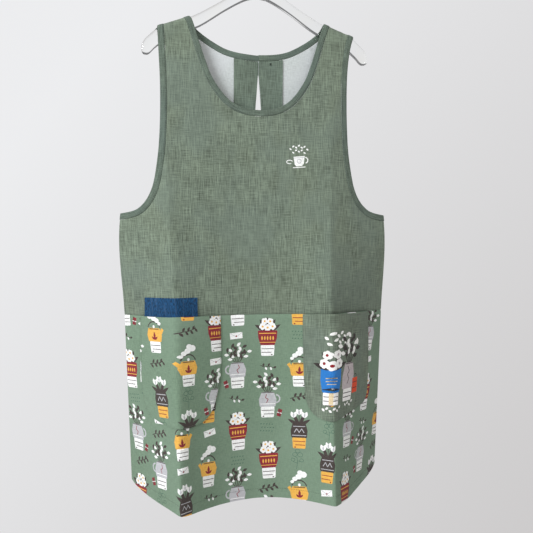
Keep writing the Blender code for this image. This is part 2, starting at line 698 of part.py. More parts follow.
def build_hanger(clear, steel, collection, cutters):
    half = hanger_outline()
    outline = half + [(-x, z) for x, z in half[::-1][1:-1]]
    flat = curve_object("hanger_curve", [(x, z, 0) for x, z in outline], collection, True)
    flat.data.fill_mode = "BOTH"
    flat.data.extrude = HANGER_THICKNESS / 2 - HANGER_EDGE
    flat.data.bevel_depth = HANGER_EDGE
    flat.data.offset = -HANGER_EDGE
    flat.data.bevel_resolution = 1
    flat.rotation_euler.x = math.pi / 2
    body = mesh_from(flat, "hanger", clear, collection)

    bm = bmesh.new()
    bmesh.ops.create_cone(bm, cap_ends=True, segments=16, radius1=HOOK_WIRE / 2 + GAP,
                          radius2=HOOK_WIRE / 2 + GAP, depth=2 * (HOOK_SINK + GAP))
    mesh = bpy.data.meshes.new("stem_bore")
    bm.to_mesh(mesh)
    bm.free()
    bore = new_object("stem_bore", mesh, clear, cutters)
    bore.location.z = CROWN_Z
    bore.hide_render = True
    bore.display_type = "WIRE"
    cut = body.modifiers.new("stem bore", "BOOLEAN")
    cut.operation = "DIFFERENCE"
    cut.object = bore

    wire = HOOK_RADIUS + HOOK_WIRE / 2
    centre = -HOOK_RADIUS
    start = math.radians(HOOK_START)
    bend = (wire * math.cos(start), centre + wire * math.sin(start))
    foot = CROWN_Z - HOOK_SINK
    neck = centre - wire - HOOK_STEM * 0.3
    route = smooth_line([(0, foot), (0, CROWN_Z), (0, neck), (bend[0] * 0.45, (neck + bend[1]) / 2),
                         bend], 4)[:-1]
    turn = math.radians(HOOK_END - HOOK_START)
    route += [(wire * math.cos(start + turn * k / 16), centre + wire * math.sin(start + turn * k / 16))
              for k in range(17)]
    hook = curve_object("hook_curve", [(x, 0, z) for x, z in route], collection)
    hook.data.bevel_depth = HOOK_WIRE / 2
    hook.data.bevel_resolution = 2
    hook.data.use_fill_caps = True
    mesh_from(hook, "hanger_hook", steel, collection)


def build():
    for old in list(bpy.data.objects):
        bpy.data.objects.remove(old)
    apron = bpy.data.collections.new("cobbler_apron")
    cutters = bpy.data.collections.new("cutters")
    for collection in (apron, cutters):
        bpy.context.scene.collection.children.link(collection)
    cloth = material("green_cloth", (0.14, 0.20, 0.15), 0.9)
    print_cloth = material("print_cloth", (0.17, 0.28, 0.21), 0.9)
    denim = material("denim", (0.02, 0.09, 0.28), 0.9)
    clear = material("clear_plastic", (0.9, 0.92, 0.93), 0.1, transmission=0.9)
    steel = material("hook_steel", (0.6, 0.6, 0.6), 0.25, metallic=1.0)
    button = material("button_plastic", (0.10, 0.12, 0.10), 0.4)

    build_front(cloth, print_cloth, apron)
    build_back(cloth, print_cloth, apron)
    build_bindings(cloth, apron)
    build_pockets(cloth, print_cloth, denim, apron)
    build_button(button, apron)
    build_hanger(clear, steel, apron, cutters)


build()
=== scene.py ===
"""The looks of the cobbler apron on its clear hanger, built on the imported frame."""

import math

import bmesh
import bpy
import numpy as np
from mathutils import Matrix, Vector, geometry, kdtree, noise


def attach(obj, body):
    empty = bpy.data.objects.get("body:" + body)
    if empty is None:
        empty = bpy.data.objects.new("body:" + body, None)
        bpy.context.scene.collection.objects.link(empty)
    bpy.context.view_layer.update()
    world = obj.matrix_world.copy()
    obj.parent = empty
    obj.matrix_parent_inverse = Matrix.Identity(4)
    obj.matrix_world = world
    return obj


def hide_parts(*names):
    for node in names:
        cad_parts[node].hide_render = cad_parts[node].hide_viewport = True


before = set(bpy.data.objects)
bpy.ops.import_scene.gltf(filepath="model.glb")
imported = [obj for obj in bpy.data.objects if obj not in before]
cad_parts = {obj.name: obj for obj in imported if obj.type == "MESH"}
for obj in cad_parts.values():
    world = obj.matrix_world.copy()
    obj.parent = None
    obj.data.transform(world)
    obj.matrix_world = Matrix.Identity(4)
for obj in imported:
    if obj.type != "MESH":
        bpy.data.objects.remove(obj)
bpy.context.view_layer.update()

# The sizes of the CAD model, in metres
CLOTH = 0.0010
GAP = 0.0003
LAYER_GAP = 0.0008
BINDING_WIDTH = 0.0105
BINDING_THICKNESS = 0.0024
HOOK_RADIUS = 0.018
HOOK_WIRE = 0.0034
HOOK_STEM = 0.027
CROWN_RISE = 0.062
HANGER_THICKNESS = 0.011
HANGER_EDGE = 0.0035
BAR_HEIGHT = 0.019
TIP_REACH = 0.027
TIP_DROP = 0.046
FRONT_LENGTH = 0.823
NECK_HALF = 0.1185
NECK_DROP = 0.156
BACK_NECK_DROP = 0.057
SHOULDER_HALF = 0.172
SHOULDER_FALL = 0.0195
ARMHOLE_DROP = 0.3145
CHEST_HALF = 0.235
WAIST_DROP = 0.506
HEM_RISE = 0.030
FOLD_DEPTH = 0.090
POCKET_DEPTH = 0.180
POCKET_WIDTH = 0.130
POCKET_INSET = 0.3043 * CHEST_HALF
POCKET_GAPE = 0.011
TAB_WIDTH = 0.083
TAB_STAND = 0.031
TAB_SINK = 0.030
TAB_INSET = 0.040
SLIT_X = 0.003
SLIT_TOP = 0.092
SLIT_LENGTH = 0.230
SLIT_GAPE = 0.013
LAP_WIDTH = 0.036
FACING_WIDTH = 0.043
FACING_BEYOND = 0.030
BUTTON_RADIUS = 0.0055
BUTTON_THICKNESS = 0.0022
BUTTON_INSET = 0.021
BUTTON_RISE = 0.020
LAP_RUN = 0.030
BACK_ARMHOLE_INSET = 0.006
CROWN_Z = -(2 * HOOK_RADIUS + HOOK_WIRE + HOOK_STEM)
NECK_Z = CROWN_Z - CROWN_RISE
WAIST_Z = NECK_Z - WAIST_DROP
HEM_Z = NECK_Z - FRONT_LENGTH
SHOULDER_Z = NECK_Z - SHOULDER_FALL
UNDERARM_Z = SHOULDER_Z - ARMHOLE_DROP
SEAT = HANGER_THICKNESS / 2 + (BINDING_THICKNESS - CLOTH) / 2 + LAYER_GAP
LAP_OUT = BINDING_THICKNESS + LAYER_GAP
FRONT = -1
BACK = 1

# The hung form, row by row down the apron, and the half outlines, as in the CAD model
FORM_COLUMNS = ("drop", "left_fold", "right_fold", "left_side", "right_side", "front_mid",
                "front_fold", "side_depth", "back_mid", "back_fold", "open")
FORM = (
    (-0.01, 0.706, 0.562, 0.745, 0.745, 0.00, 0.00, 0.00, 0.00, 0.00, 1.0),
    (0.15, 0.694, 0.553, 0.766, 0.766, -0.06, -0.07, 0.00, 0.02, 0.04, 0.9),
    (0.41, 0.666, 0.528, 0.998, 0.998, -0.11, -0.24, 0.09, 0.11, 0.21, 0.0),
    (0.62, 0.632, 0.500, 0.969, 0.996, -0.23, -0.52, 0.20, 0.28, 0.44, 0.0),
    (1.06, 0.620, 0.485, 0.909, 0.957, -0.23, -1.03, 0.36, 0.46, 0.74, 0.0),
)
FRONT_NECK = (
    (1.0, 0.0), (0.965, 0.045), (0.912, 0.165), (0.861, 0.29), (0.793, 0.45),
    (0.686, 0.655), (0.523, 0.835), (0.371, 0.933), (0.2, 0.985), (0.0, 1.0),
)
BACK_NECK = (
    (1.0, 0.0), (0.945, 0.20), (0.845, 0.40), (0.684, 0.63), (0.468, 0.86), (0.25, 0.965), (0.0, 1.0),
)
LEFT_ARMHOLE = (  # width from the outer shoulder, a share of the way to CHEST_HALF; ARMHOLE_DROP
    (0.0, 0.0), (0.0, 0.065), (-0.022, 0.16), (-0.048, 0.27), (-0.055, 0.40), (-0.039, 0.53),
    (0.0, 0.655), (0.07, 0.765), (0.155, 0.85), (0.29, 0.915), (0.46, 0.96), (0.65, 0.985), (1.0, 1.0),
)
RIGHT_ARMHOLE = (  # width from the outer shoulder, a share of the way to CHEST_HALF; ARMHOLE_DROP
    (0.0, 0.0), (-0.1, 0.065), (-0.177, 0.16), (-0.215, 0.27), (-0.222, 0.40), (-0.206, 0.53),
    (-0.167, 0.655), (-0.09, 0.765), (0.005, 0.85), (0.16, 0.915), (0.37, 0.96), (0.605, 0.985),
    (1.0, 1.0),
)
FRONT_HEM = (
    (1.0, 0.0), (0.97, 0.26), (0.91, 0.5), (0.83, 0.7), (0.73, 0.9), (0.61, 1.1), (0.42, 1.07),
    (0.21, 1.02), (0.0, 1.0),
)
BACK_HEM = ((1.0, 0.0), (0.8, 0.22), (0.55, 0.38), (0.3, 0.45), (0.0, 0.47))
LEFT_POCKET = (
    (0.0, 0.0), (0.0, 0.4), (0.02, 0.6), (0.06, 0.72), (0.11, 0.84), (0.19, 0.93), (0.3, 0.98),
    (0.45, 1.0), (0.62, 0.995), (0.77, 0.968), (0.885, 0.918), (0.95, 0.845), (0.985, 0.72),
    (1.0, 0.5), (1.0, 0.0),
)
RIGHT_POCKET = (
    (0.0, 0.0), (0.0, 0.4), (0.01, 0.66), (0.035, 0.82), (0.09, 0.915), (0.17, 0.97), (0.3, 1.0),
    (0.45, 0.99), (0.62, 0.955), (0.78, 0.93), (0.9, 0.9), (0.965, 0.83), (0.99, 0.7),
    (1.0, 0.5), (1.0, 0.0),
)
HANGER_CROWN = ((0.0, 0.0), (0.12, 0.05), (0.27, 0.2), (0.5, 0.49), (0.76, 0.79))
HANGER_TIP = (
    (0.35, 0.2), (0.75, 0.42), (0.96, 0.63), (1.0, 0.8), (0.93, 0.95), (0.75, 1.0), (0.52, 0.97),
    (0.2, 0.78), (-0.15, 0.6),
)
HANGER_FOOT = (
    (1.15, 1.0, 1.38), (0.88, 0.95, 1.12), (0.5, 0.5, 1.05), (0.27, 0.24, 1.05), (0.12, 0.1, 1.1),
    (0.0, 0.06, 1.12),
)

# How fine the looks are
GRID = 0.0042
FABRIC = 0.0008
CREASE_ROUND = 0.0026
OUTLINE_STEPS = 6
HEM_FOLD = 0.016
STITCH_LENGTH = 0.0022
STITCH_PITCH = 0.0031
STITCH_WIDTH = 0.00028
STITCH_RINGS = ((0, 0.35, -0.5), (0.3, 1.0, 0.35), (0.7, 1.0, 0.35), (1, 0.35, -0.5))
EDGE_STITCH = 0.0020  # from a pocket's edge
TAPE_STITCH = 0.0018  # from a binding's seam
POCKET_HEM = 0.0155
WAIST_ROLL = 0.0011
WAIST_ROLL_RUN = 0.0026
TAPE_PUCKER = 0.0008
TAB_CLOTH = 0.0010
FOLDED_CLOTH = 0.0006
PRINT_COLUMN = 0.0545
PRINT_RISE = 0.1060
FLAT_SHARE = 1.25  # how much wider than the hung cloth the flat cloth can be


# Camera, lights and floor

def new_object(name, data):
    made = bpy.data.objects.new(name, data)
    bpy.context.scene.collection.objects.link(made)
    return made


def turn_along(thing, way, axis="-Z"):
    """Turns a thing so that its axis points along a way."""
    thing.rotation_mode = "QUATERNION"
    thing.rotation_quaternion = way.to_track_quat(axis, "Y")


def make_camera():
    """Where the photograph was taken from."""
    azimuth, elevation, distance = math.radians(-12.4), math.radians(1.8), 1.350
    back = Vector((math.sin(azimuth) * math.cos(elevation), -math.cos(azimuth) * math.cos(elevation),
                   math.sin(elevation)))
    data = bpy.data.cameras.new("camera")
    data.sensor_width = 36
    data.lens = 52.1
    data.clip_start = 0.05
    camera = new_object("camera", data)
    camera.location = Vector((0.0158, 0, -0.5534)) + back * distance
    turn_along(camera, -back)
    bpy.context.scene.camera = camera


def area_light(name, place, aim, size, power, colour, mirrored_in_plastic=False):
    data = bpy.data.lights.new(name, "AREA")
    data.shape, data.size, data.energy, data.color = "DISK", size, power, colour
    light = new_object(name, data)
    light.visible_glossy = light.visible_transmission = mirrored_in_plastic
    light.location = place
    turn_along(light, Vector(aim) - Vector(place))


def make_world():
    """A pale room, brighter to look at than the light that it gives, its colour painted darker towards
    the lower right as painted shade on the backdrop.

    Clear plastic and steel see it darker above, which draws their edges.
    """
    bpy.context.scene.world = bpy.data.worlds.new("room")
    n = Nodes("room", bpy.context.scene.world)
    n.nodes.clear()
    way = n.add("TexCoord").outputs["Generated"]
    # Painted shade: the room that the camera sees grows darker towards the lower right.
    across = n.add("VectorMath", {0: way, 1: (0.75, 0.0, -0.65)}, operation="DOT_PRODUCT")
    tint = n.mix(n.spread(across.outputs["Value"], -0.15, 0.95), (0.845, 0.85, 0.865),
                 (0.50, 0.48, 0.475))
    high = n.add("SeparateXYZ", {"Vector": way}).outputs["Z"]
    path = n.add("LightPath")
    dim = n.add("Math", {0: n.spread(high, 0.42, 0.60, 0.0, 0.92, "SMOOTHSTEP"),
                         1: path.outputs["Is Camera Ray"]}, operation="SUBTRACT", use_clamp=True)
    seen = n.add("Background", {"Color": n.mix(dim.outputs[0], tint, (0.10, 0.10, 0.105))})
    given = n.add("Background", {"Color": (1.0, 0.97, 0.93, 1), "Strength": 0.50})
    light = n.add("MixShader", {"Fac": path.outputs["Is Diffuse Ray"], 1: seen.outputs[0],
                                2: given.outputs[0]})
    n.add("OutputWorld", {"Surface": light.outputs[0]})


def make_floor():
    """A pale floor under the apron that fades out into the room."""
    bm = bmesh.new()
    bmesh.ops.create_circle(bm, cap_ends=True, radius=1.6, segments=64)
    mesh = bpy.data.meshes.new("floor")
    bm.to_mesh(mesh)
    bm.free()
    floor = new_object("floor", mesh)
    floor.location.z = -1.75
    n = Nodes("floor")
    n.put(n.shader, "Base Color", (0.9, 0.9, 0.91, 1))
    n.put(n.shader, "Roughness", 0.8)
    radius = n.add("VectorMath", {0: n.add("TexCoord").outputs["Object"]}, operation="LENGTH")
    n.put(n.shader, "Alpha", n.spread(radius.outputs["Value"], 0.25, 1.5, 1, 0, "SMOOTHSTEP"))
    mesh.materials.append(n.made)


# The hung form

def lerp(a, b, t):
    return a + (b - a) * t


def smooth_row(table, t):
    """One row of a table read between its rows along a smooth curve; the first column is t."""
    last = len(table) - 1
    i = next((k for k in range(last) if t <= table[k + 1][0]), last - 1)
    p0, p1, p2, p3 = table[max(i - 1, 0)], table[i], table[i + 1], table[min(i + 2, last)]
    span = p2[0] - p1[0]
    s = (t - p1[0]) / span
    row = [t]
    for c in range(1, len(p1)):
        slope_in = (p2[c] - p0[c]) / (p2[0] - p0[0]) * span
        slope_out = (p3[c] - p1[c]) / (p3[0] - p1[0]) * span
        row.append((2 * s ** 3 - 3 * s ** 2 + 1) * p1[c] + (s ** 3 - 2 * s ** 2 + s) * slope_in
                   + (3 * s ** 2 - 2 * s ** 3) * p2[c] + (s ** 3 - s ** 2) * slope_out)
    return row


def smooth_line(points, steps):
    """Points along a smooth curve through the given points, steps to each stretch."""
    line = []
    last = len(points) - 1
    for i in range(last):
        p0, p1, p2, p3 = points[max(i - 1, 0)], points[i], points[i + 1], points[min(i + 2, last)]
        for k in range(steps):
            t = k / steps
            line.append(tuple(
                0.5 * (2 * b + (c - a) * t + (2 * a - 5 * b + 4 * c - d) * t ** 2
                       + (3 * b - a - 3 * c + d) * t ** 3)
                for a, b, c, d in zip(p0, p1, p2, p3)))
    line.append(tuple(points[last]))
    return line


DROPS = np.linspace(FORM[0][0], FORM[-1][0], 400)
FORM_FINE = np.array([smooth_row(FORM, t) for t in DROPS])


def form_at(z):
    """The hung form's measures at one or many heights."""
    t = (NECK_Z - np.asarray(z, float)) / FRONT_LENGTH
    return {name: np.interp(t, DROPS, FORM_FINE[:, c]) for c, name in enumerate(FORM_COLUMNS)}


def half_widths(x, z):
    """The fold's and the side seam's distance from the centre, on the side where x lies."""
    form = form_at(z)
    left = np.asarray(x) < 0
    return (np.where(left, form["left_fold"], form["right_fold"]) * CHEST_HALF,
            np.where(left, form["left_side"], form["right_side"]) * CHEST_HALF)


def slopes(side, x, z):
    """The cloth's depths at the centre, fold and seam, and its slopes each side of the fold."""
    form = form_at(z)
    name = "front" if side == FRONT else "back"
    fold, edge = half_widths(x, z)
    mid = side * SEAT + form[name + "_mid"] * FOLD_DEPTH
    corner = side * SEAT + form[name + "_fold"] * FOLD_DEPTH
    seam = form["side_depth"] * FOLD_DEPTH + side * (GAP + SEAT * np.maximum(form["open"], 0))
    return fold, edge, mid, corner, 2 * (corner - mid) / fold, (seam - corner) / (edge - fold)


def shoulder_z(x):
    return NECK_Z - (np.abs(x) - NECK_HALF) / (SHOULDER_HALF - NECK_HALF) * SHOULDER_FALL


def depth(side, x, z):
    """The depth of the cloth's inner face, its folds rounded, rolled over the hanger."""
    fold, _, mid, corner, rise_in, rise_out = slopes(side, x, z)
    wide = np.abs(x)
    past = wide - fold
    flat = np.where(past <= 0, mid + (corner - mid) * (wide / fold) ** 2, corner + rise_out * past)
    flat = flat + (rise_out - rise_in) / 2 * (np.sqrt(past ** 2 + CREASE_ROUND ** 2) - np.abs(past))
    below = np.clip(shoulder_z(x) - z, 0, SEAT)
    roll = np.sqrt(1 - (1 - below / SEAT) ** 2)
    return side * GAP + (flat - side * GAP) * roll


def girth(side, x, z):
    """The width on the flat cloth, from the centre, of a place on the hung cloth."""
    fold, _, _, _, rise_in, rise_out = slopes(side, x, z)
    wide = np.abs(x)
    inner = np.minimum(wide, fold)
    return np.sign(x) * (inner + rise_in ** 2 * inner ** 3 / (6 * fold ** 2)
                         + np.maximum(wide - fold, 0) * np.sqrt(1 + rise_out ** 2))


def from_girth(side, g, z):
    """The place on the hung cloth of a width on the flat cloth."""
    x = np.array(g, float)
    for _ in range(6):
        x = x + (g - girth(side, x, z)) * 0.85
    return x


def outward(side, x, z):
    """The direction out of the cloth."""
    step = 0.0015
    top = shoulder_z(x) - z < SEAT + step
    here = depth(side, x, z)
    low = depth(side, x, z - step)
    rise = np.where(top, (here - low) / step, (depth(side, x, z + step) - low) / (2 * step))
    run = (depth(side, x + step, z) - depth(side, x - step, z)) / (2 * step)
    way = np.stack([-run * side, np.full_like(run, side), -rise * side], -1)
    return way / np.linalg.norm(way, axis=-1, keepdims=True)


def side_width(sign, z):
    """A side seam's distance from the centre at a height."""
    return float(half_widths(sign, z)[1])


def below_shoulder(point):
    return float(shoulder_z(point[0]) - point[1])


def roll_stations(line):
    """The line, which starts on the shoulder seam, with the points that let it roll over it."""
    line = list(line)
    for share in (0.02, 0.06, 0.13, 0.25, 0.45, 0.7, 1.0):
        drop = share * SEAT
        k = next(i for i in range(1, len(line)) if below_shoulder(line[i]) > drop)
        a, b = line[k - 1], line[k]
        t = (drop - below_shoulder(a)) / (below_shoulder(b) - below_shoulder(a))
        if t > 0.02:
            line.insert(k, (lerp(a[0], b[0], t), lerp(a[1], b[1], t)))
    return line


def band(line, width):
    """The other edge of a band along a half line; a positive width lies away from the centre."""
    fall = Vector((SHOULDER_HALF - NECK_HALF, -SHOULDER_FALL)).normalized()
    edge = []
    for k, (x, z) in enumerate(line):
        before = line[max(k - 1, 0)]
        after = line[min(k + 1, len(line) - 1)]
        run = Vector((after[0] - before[0], after[1] - before[1])).normalized()
        share = min(below_shoulder((x, z)) / (3 * SEAT), 1)
        way = fall.lerp(Vector((-run.y, run.x)), share * share).normalized()
        edge.append((x + way.x * width, z + way.y * width))
    return edge


def mirrored(line):
    return [(-x, z) for x, z in reversed(line)]


def whole(left, right):
    """Two half lines that run to the centre, as one line from -X to +X."""
    return [(-x, z) for x, z in left] + right[::-1][1:]


def heights(top, bottom, step=GRID):
    count = max(int((top - bottom) / step), 1)
    return [lerp(top, bottom, k / count) for k in range(count + 1)]


def side_line(sign, top, bottom):
    return [(side_width(sign, z), z) for z in heights(top, bottom)]


def neck_lines(side, width):
    """The neck edge from the shoulder down to the centre, and a line beside it."""
    table, drop = (FRONT_NECK, NECK_DROP) if side == FRONT else (BACK_NECK, BACK_NECK_DROP)
    points = [(w * NECK_HALF, NECK_Z - d * drop) for w, d in table]
    edge = roll_stations(smooth_line(points, OUTLINE_STEPS))
    beside = band(edge, width)
    beside[-1] = (0, edge[-1][1] - width)
    return edge, beside


def armhole_lines(side, sign, width):
    """An armhole's edge down to the underarm, and a line beside it."""
    reach = CHEST_HALF - SHOULDER_HALF
    inset = BACK_ARMHOLE_INSET if side == BACK else 0
    points = [(SHOULDER_HALF + w * reach - inset * math.sin(math.pi * d), SHOULDER_Z - d * ARMHOLE_DROP)
              for w, d in (LEFT_ARMHOLE if sign < 0 else RIGHT_ARMHOLE)]
    points[-1] = (side_width(sign, UNDERARM_Z), UNDERARM_Z)
    edge = roll_stations(smooth_line(points, OUTLINE_STEPS))
    beside = band(edge, -width)
    beside[-1] = (side_width(sign, UNDERARM_Z - width), UNDERARM_Z - width)
    return edge, beside


def slit_edges(z):
    """The slit's two edges at a height; below it they are the centre seam's."""
    t = (NECK_Z - SLIT_TOP - z) / SLIT_LENGTH
    gape = SLIT_GAPE * math.sin(math.pi * t) if 0 < t < 1 else 0
    return SLIT_X - (gape + GAP) / 2, SLIT_X + (gape + GAP) / 2


def centre_line(top, bottom, edge):
    return [(slit_edges(z)[edge], z) for z in heights(top, bottom)]


def lap(x, z):
    """How far the overlapping half of the back stands off the other half at the slit's top."""
    t = np.clip((x - SLIT_X + LAP_RUN) / (LAP_RUN - LAYER_GAP), 0, 1)
    down = np.clip((NECK_Z - SLIT_TOP - z) / LAP_RUN, 0, 1)
    return LAP_OUT * t * t * (3 - 2 * t) * (1 - down)


def height_on(line, x):
    """The height of a line at a width, where it runs across the apron."""
    for a, b in zip(line, line[1:]):
        low, high = sorted((a[0], b[0]))
        if low <= x <= high and high > low:
            return lerp(a[1], b[1], (x - a[0]) / (b[0] - a[0]))
    return line[-1][1]


def between(line, low, high):
    """The part of a line between two widths, with its end points made."""
    kept = [p for p in line if low < p[0] < high]
    ends = [(x, height_on(line, x)) for x in (low, high) if line[0][0] < x < line[-1][0]]
    return sorted(kept + ends)


def hem_line(sign, table):
    """The hem's half line from the side seam to the centre."""
    half = side_width(sign, HEM_Z + HEM_RISE)
    return smooth_line([(w * half, HEM_Z + HEM_RISE * (1 - d)) for w, d in table], OUTLINE_STEPS)


def hem(table):
    return whole(hem_line(-1, table), hem_line(1, table))


# Relief that all layers of the cloth share

def edge_tree():
    """The sewn edges that the cloth puckers along."""
    places = []
    for sign in (-1, 1):
        for _, line in (neck_lines(FRONT, BINDING_WIDTH), armhole_lines(FRONT, sign, BINDING_WIDTH)):
            places += [(sign * x, z) for x, z in line]
    tree = kdtree.KDTree(len(places))
    for k, (x, z) in enumerate(places):
        tree.insert((x, 0, z), k)
    tree.balance()
    return tree


EDGES = edge_tree()
HEM_HEIGHTS = hem(FRONT_HEM)
DART = Vector((-0.1600, -0.2970)), Vector((-0.1330, -0.2840))
CENTRE_CREASE_X = 0.004
LEVEL_CREASES = ((-0.5135, 0.50), (-0.8700, 0.75))


def noise_at(x, y, z):
    return noise.noise(Vector((x, y, z)))


def relief_at(side, x, z):
    """How far the cloth stands off the plain form at one place, worked out in millimetres."""
    fall = (NECK_Z - z) / FRONT_LENGTH
    low = 1.5 * noise_at(x * 9, side * 4.1, z * 5.5) + 0.55 * noise_at(x * 26, side * 7.3, z * 13)
    ripple = (0.25 + 0.5 * fall) * noise_at(x * 34, side * 2.2, z * 3.2)
    fine = 0.16 * noise_at(x * 75, side * 1.7, z * 60) + 0.07 * noise_at(x * 190, side, z * 150)
    height = low + ripple + fine
    if side == FRONT:
        bend = 0.80 * math.exp(-abs(x - CENTRE_CREASE_X) / 0.004)
        height += bend * (0.5 + 0.5 * noise_at(3, 1, z * 8))
        for crease_z, deep in LEVEL_CREASES:
            height -= deep * math.exp(-abs(z - crease_z) / 0.004)
        near, t = geometry.intersect_point_line(Vector((x, z)), *DART)
        if 0 <= t <= 1:
            away = (Vector((x, z)) - near.to_2d()).length
            height -= 0.8 * math.exp(-away / 0.0018) * (1 - t * 0.6)
    near = abs(z - WAIST_Z)
    if near < 0.03:
        height += 0.45 * noise_at(x * 70, side * 3, z * 12) * math.exp(-near / 0.009)
    if z < HEM_Z + 0.08 and side == FRONT:
        near = z - height_on(HEM_HEIGHTS, x)
        height += 0.40 * noise_at(x * 85 + z * 30, 5, z * 15) * math.exp(-abs(near - HEM_FOLD) / 0.010)
    _, _, near = EDGES.find((x, 0, z))
    if near < 0.04:
        height += 0.50 * noise_at(x * 95 + z * 40, side * 6, z * 95 - x * 40) * math.exp(-near / 0.009)
    _, edge = half_widths(x, z)
    height *= min(max(float(edge) - abs(x), 0) / 0.02, 1) ** 0.5 if z < UNDERARM_Z else 1
    low_side = -0.15 if z > SHOULDER_Z - 0.09 else -1.2
    top = min(max(below_shoulder((x, z)) / 0.012, 0), 1)
    return max(height, low_side) * 0.001 * top


def relief(side, x, z):
    return np.array([relief_at(side, a, b) for a, b in zip(np.ravel(x), np.ravel(z))]).reshape(
        np.shape(x))


def surface(side, x, z, out):
    """Points on the hung cloth, out metres outside its inner face."""
    x, z = np.asarray(x, float), np.asarray(z, float)
    base = np.stack([x, depth(side, x, z), z], -1)
    return base + outward(side, x, z) * (np.asarray(out) + relief(side, x, z))[..., None]


# Meshes

def smooth(mesh, sharp):
    """Smooth shading but for edges sharper than an angle in degrees."""
    mesh.polygons.foreach_set("use_smooth", [True] * len(mesh.polygons))
    mesh.set_sharp_from_angle(angle=math.radians(sharp))


def new_piece(name, points, faces, materials, indices=None, uvs=None, sharp=55):
    """A mesh object; uvs holds one place for each point."""
    mesh = bpy.data.meshes.new(name)
    mesh.from_pydata([tuple(p) for p in points], [], [tuple(f) for f in faces])
    for finish in materials:
        mesh.materials.append(finish)
    if indices is not None:
        mesh.polygons.foreach_set("material_index", indices)
    if uvs is not None:
        layer = mesh.uv_layers.new(name="pattern")
        corners = np.zeros(len(mesh.loops), np.int32)
        mesh.loops.foreach_get("vertex_index", corners)
        layer.data.foreach_set("uv", np.asarray(uvs, np.float32)[corners].ravel())
    smooth(mesh, sharp)
    mesh.update()
    return new_object(name, mesh)


def area_of(polygon):
    return sum(a[0] * b[1] - b[0] * a[1] for a, b in zip(polygon, polygon[1:] + polygon[:1])) / 2


def inside(polygon, x, z):
    """Which of many points lie inside a polygon."""
    found = np.zeros(len(x), bool)
    for (ax, az), (bx, bz) in zip(polygon, polygon[1:] + polygon[:1]):
        if az != bz:
            found ^= ((az > z) != (bz > z)) & (x < (bx - ax) * (z - az) / (bz - az) + ax)
    return found


def grid_places(outline):
    """Places over the cloth in rows, its columns running along the folds."""
    zs = [p[1] for p in outline]
    xs = [p[0] for p in outline]
    places = []
    for z in np.arange(min(zs) + GRID / 2, max(zs), GRID):
        form = form_at(z)
        marks = [-side_width(-1, z) - 0.006, -float(form["left_fold"]) * CHEST_HALF,
                 float(form["right_fold"]) * CHEST_HALF, side_width(1, z) + 0.006]
        row = []
        for a, b, mean in zip(marks, marks[1:], (0.07, 0.28, 0.11)):
            count = round(mean / GRID)
            row += [lerp(a, b, k / count) for k in range(count)]
        for mark in marks[1:3]:
            row += [mark + d for d in (-0.0022, -0.001, 0.001, 0.0022)]
        places += [(x, z) for x in row if min(xs) < x < max(xs)]
    places = np.array(places)
    places = places[inside(outline, places[:, 0], places[:, 1])]
    tree = kdtree.KDTree(len(outline))
    for k, (x, z) in enumerate(outline):
        tree.insert((x, 0, z), k)
    tree.balance()
    return [(x, z) for x, z in places if tree.find((x, 0, z))[2] > 0.4 * GRID]


def dense(outline, step=0.003):
    """An outline with no stretch longer than a step, and no doubled points."""
    points = []
    for a, b in zip(outline, outline[1:] + outline[:1]):
        length = math.dist(a, b)
        if length < 1e-5:
            continue
        count = max(math.ceil(length / step), 1)
        points += [(lerp(a[0], b[0], k / count), lerp(a[1], b[1], k / count)) for k in range(count)]
    return points


def cloth(name, side, outline, out, materials, prints=(), thickness=FABRIC):
    """A cloth cut to an outline, with printed shapes, laid on the hung form.

    out is the distance of its inner face from the form, a number or a function. prints are
    polygons in the flat cloth's own width and height, each with the index of its material. The
    last material is the wrong side's.
    """
    outline = dense(outline)
    if area_of(outline) < 0:
        outline = outline[::-1]
    points = [Vector(p) for p in outline]
    faces = [list(range(len(points)))]
    colours = [0]
    (left, foot), (right, top) = np.min(outline, 0), np.max(outline, 0)
    for polygon, index in prints:
        g, z = np.array(polygon).T
        x = from_girth(side, g, z)
        if x.max() < left or x.min() > right or z.max() < foot or z.min() > top:
            continue
        polygon = [(float(a), float(b)) for a, b in zip(x, z)]
        if area_of(polygon) < 0:
            polygon.reverse()
        faces.append(list(range(len(points), len(points) + len(polygon))))
        points += [Vector(p) for p in polygon]
        colours.append(index)
    points += [Vector(p) for p in grid_places(outline)]
    flat, _, triangles, _, _, origins = geometry.delaunay_2d_cdt(points, [], faces, 1, 1e-6, True)
    kept = [(tri, colours[max(ids)]) for tri, ids in zip(triangles, origins) if 0 in ids]
    used = sorted({v for tri, _ in kept for v in tri})
    place = {v: k for k, v in enumerate(used)}
    flat = np.array([flat[v] for v in used])
    x, z = flat[:, 0], flat[:, 1]
    inner = out(x, z) if callable(out) else np.full(len(x), float(out))
    base = surface(side, x, z, inner)
    outer = surface(side, x, z, inner + thickness)
    triangles = [[place[v] for v in tri] for tri, _ in kept]
    if side == BACK:
        triangles = [tri[::-1] for tri in triangles]
    count = len(flat)
    edges = dict.fromkeys(pair for tri in triangles for pair in zip(tri, tri[1:] + tri[:1]))
    rim = [(a, b) for a, b in edges if (b, a) not in edges]
    shapes = triangles + [[v + count for v in tri[::-1]] for tri in triangles]
    shapes += [[b, a, a + count, b + count] for a, b in rim]
    indices = [colour for _, colour in kept] + [len(materials) - 1] * len(kept) + [0] * len(rim)
    uvs = np.stack([girth(side, x, z), z], -1)
    piece = new_piece(name, np.concatenate([outer, base]), shapes, materials, indices,
                      np.concatenate([uvs, uvs]))
    piece["area"] = abs(float(sum(area_of([tuple(uvs[v]) for v in tri]) for tri in triangles)))
    piece["flat"] = [float(size) for size in np.ptp(uvs, axis=0)]
    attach(piece, "root")
    return piece


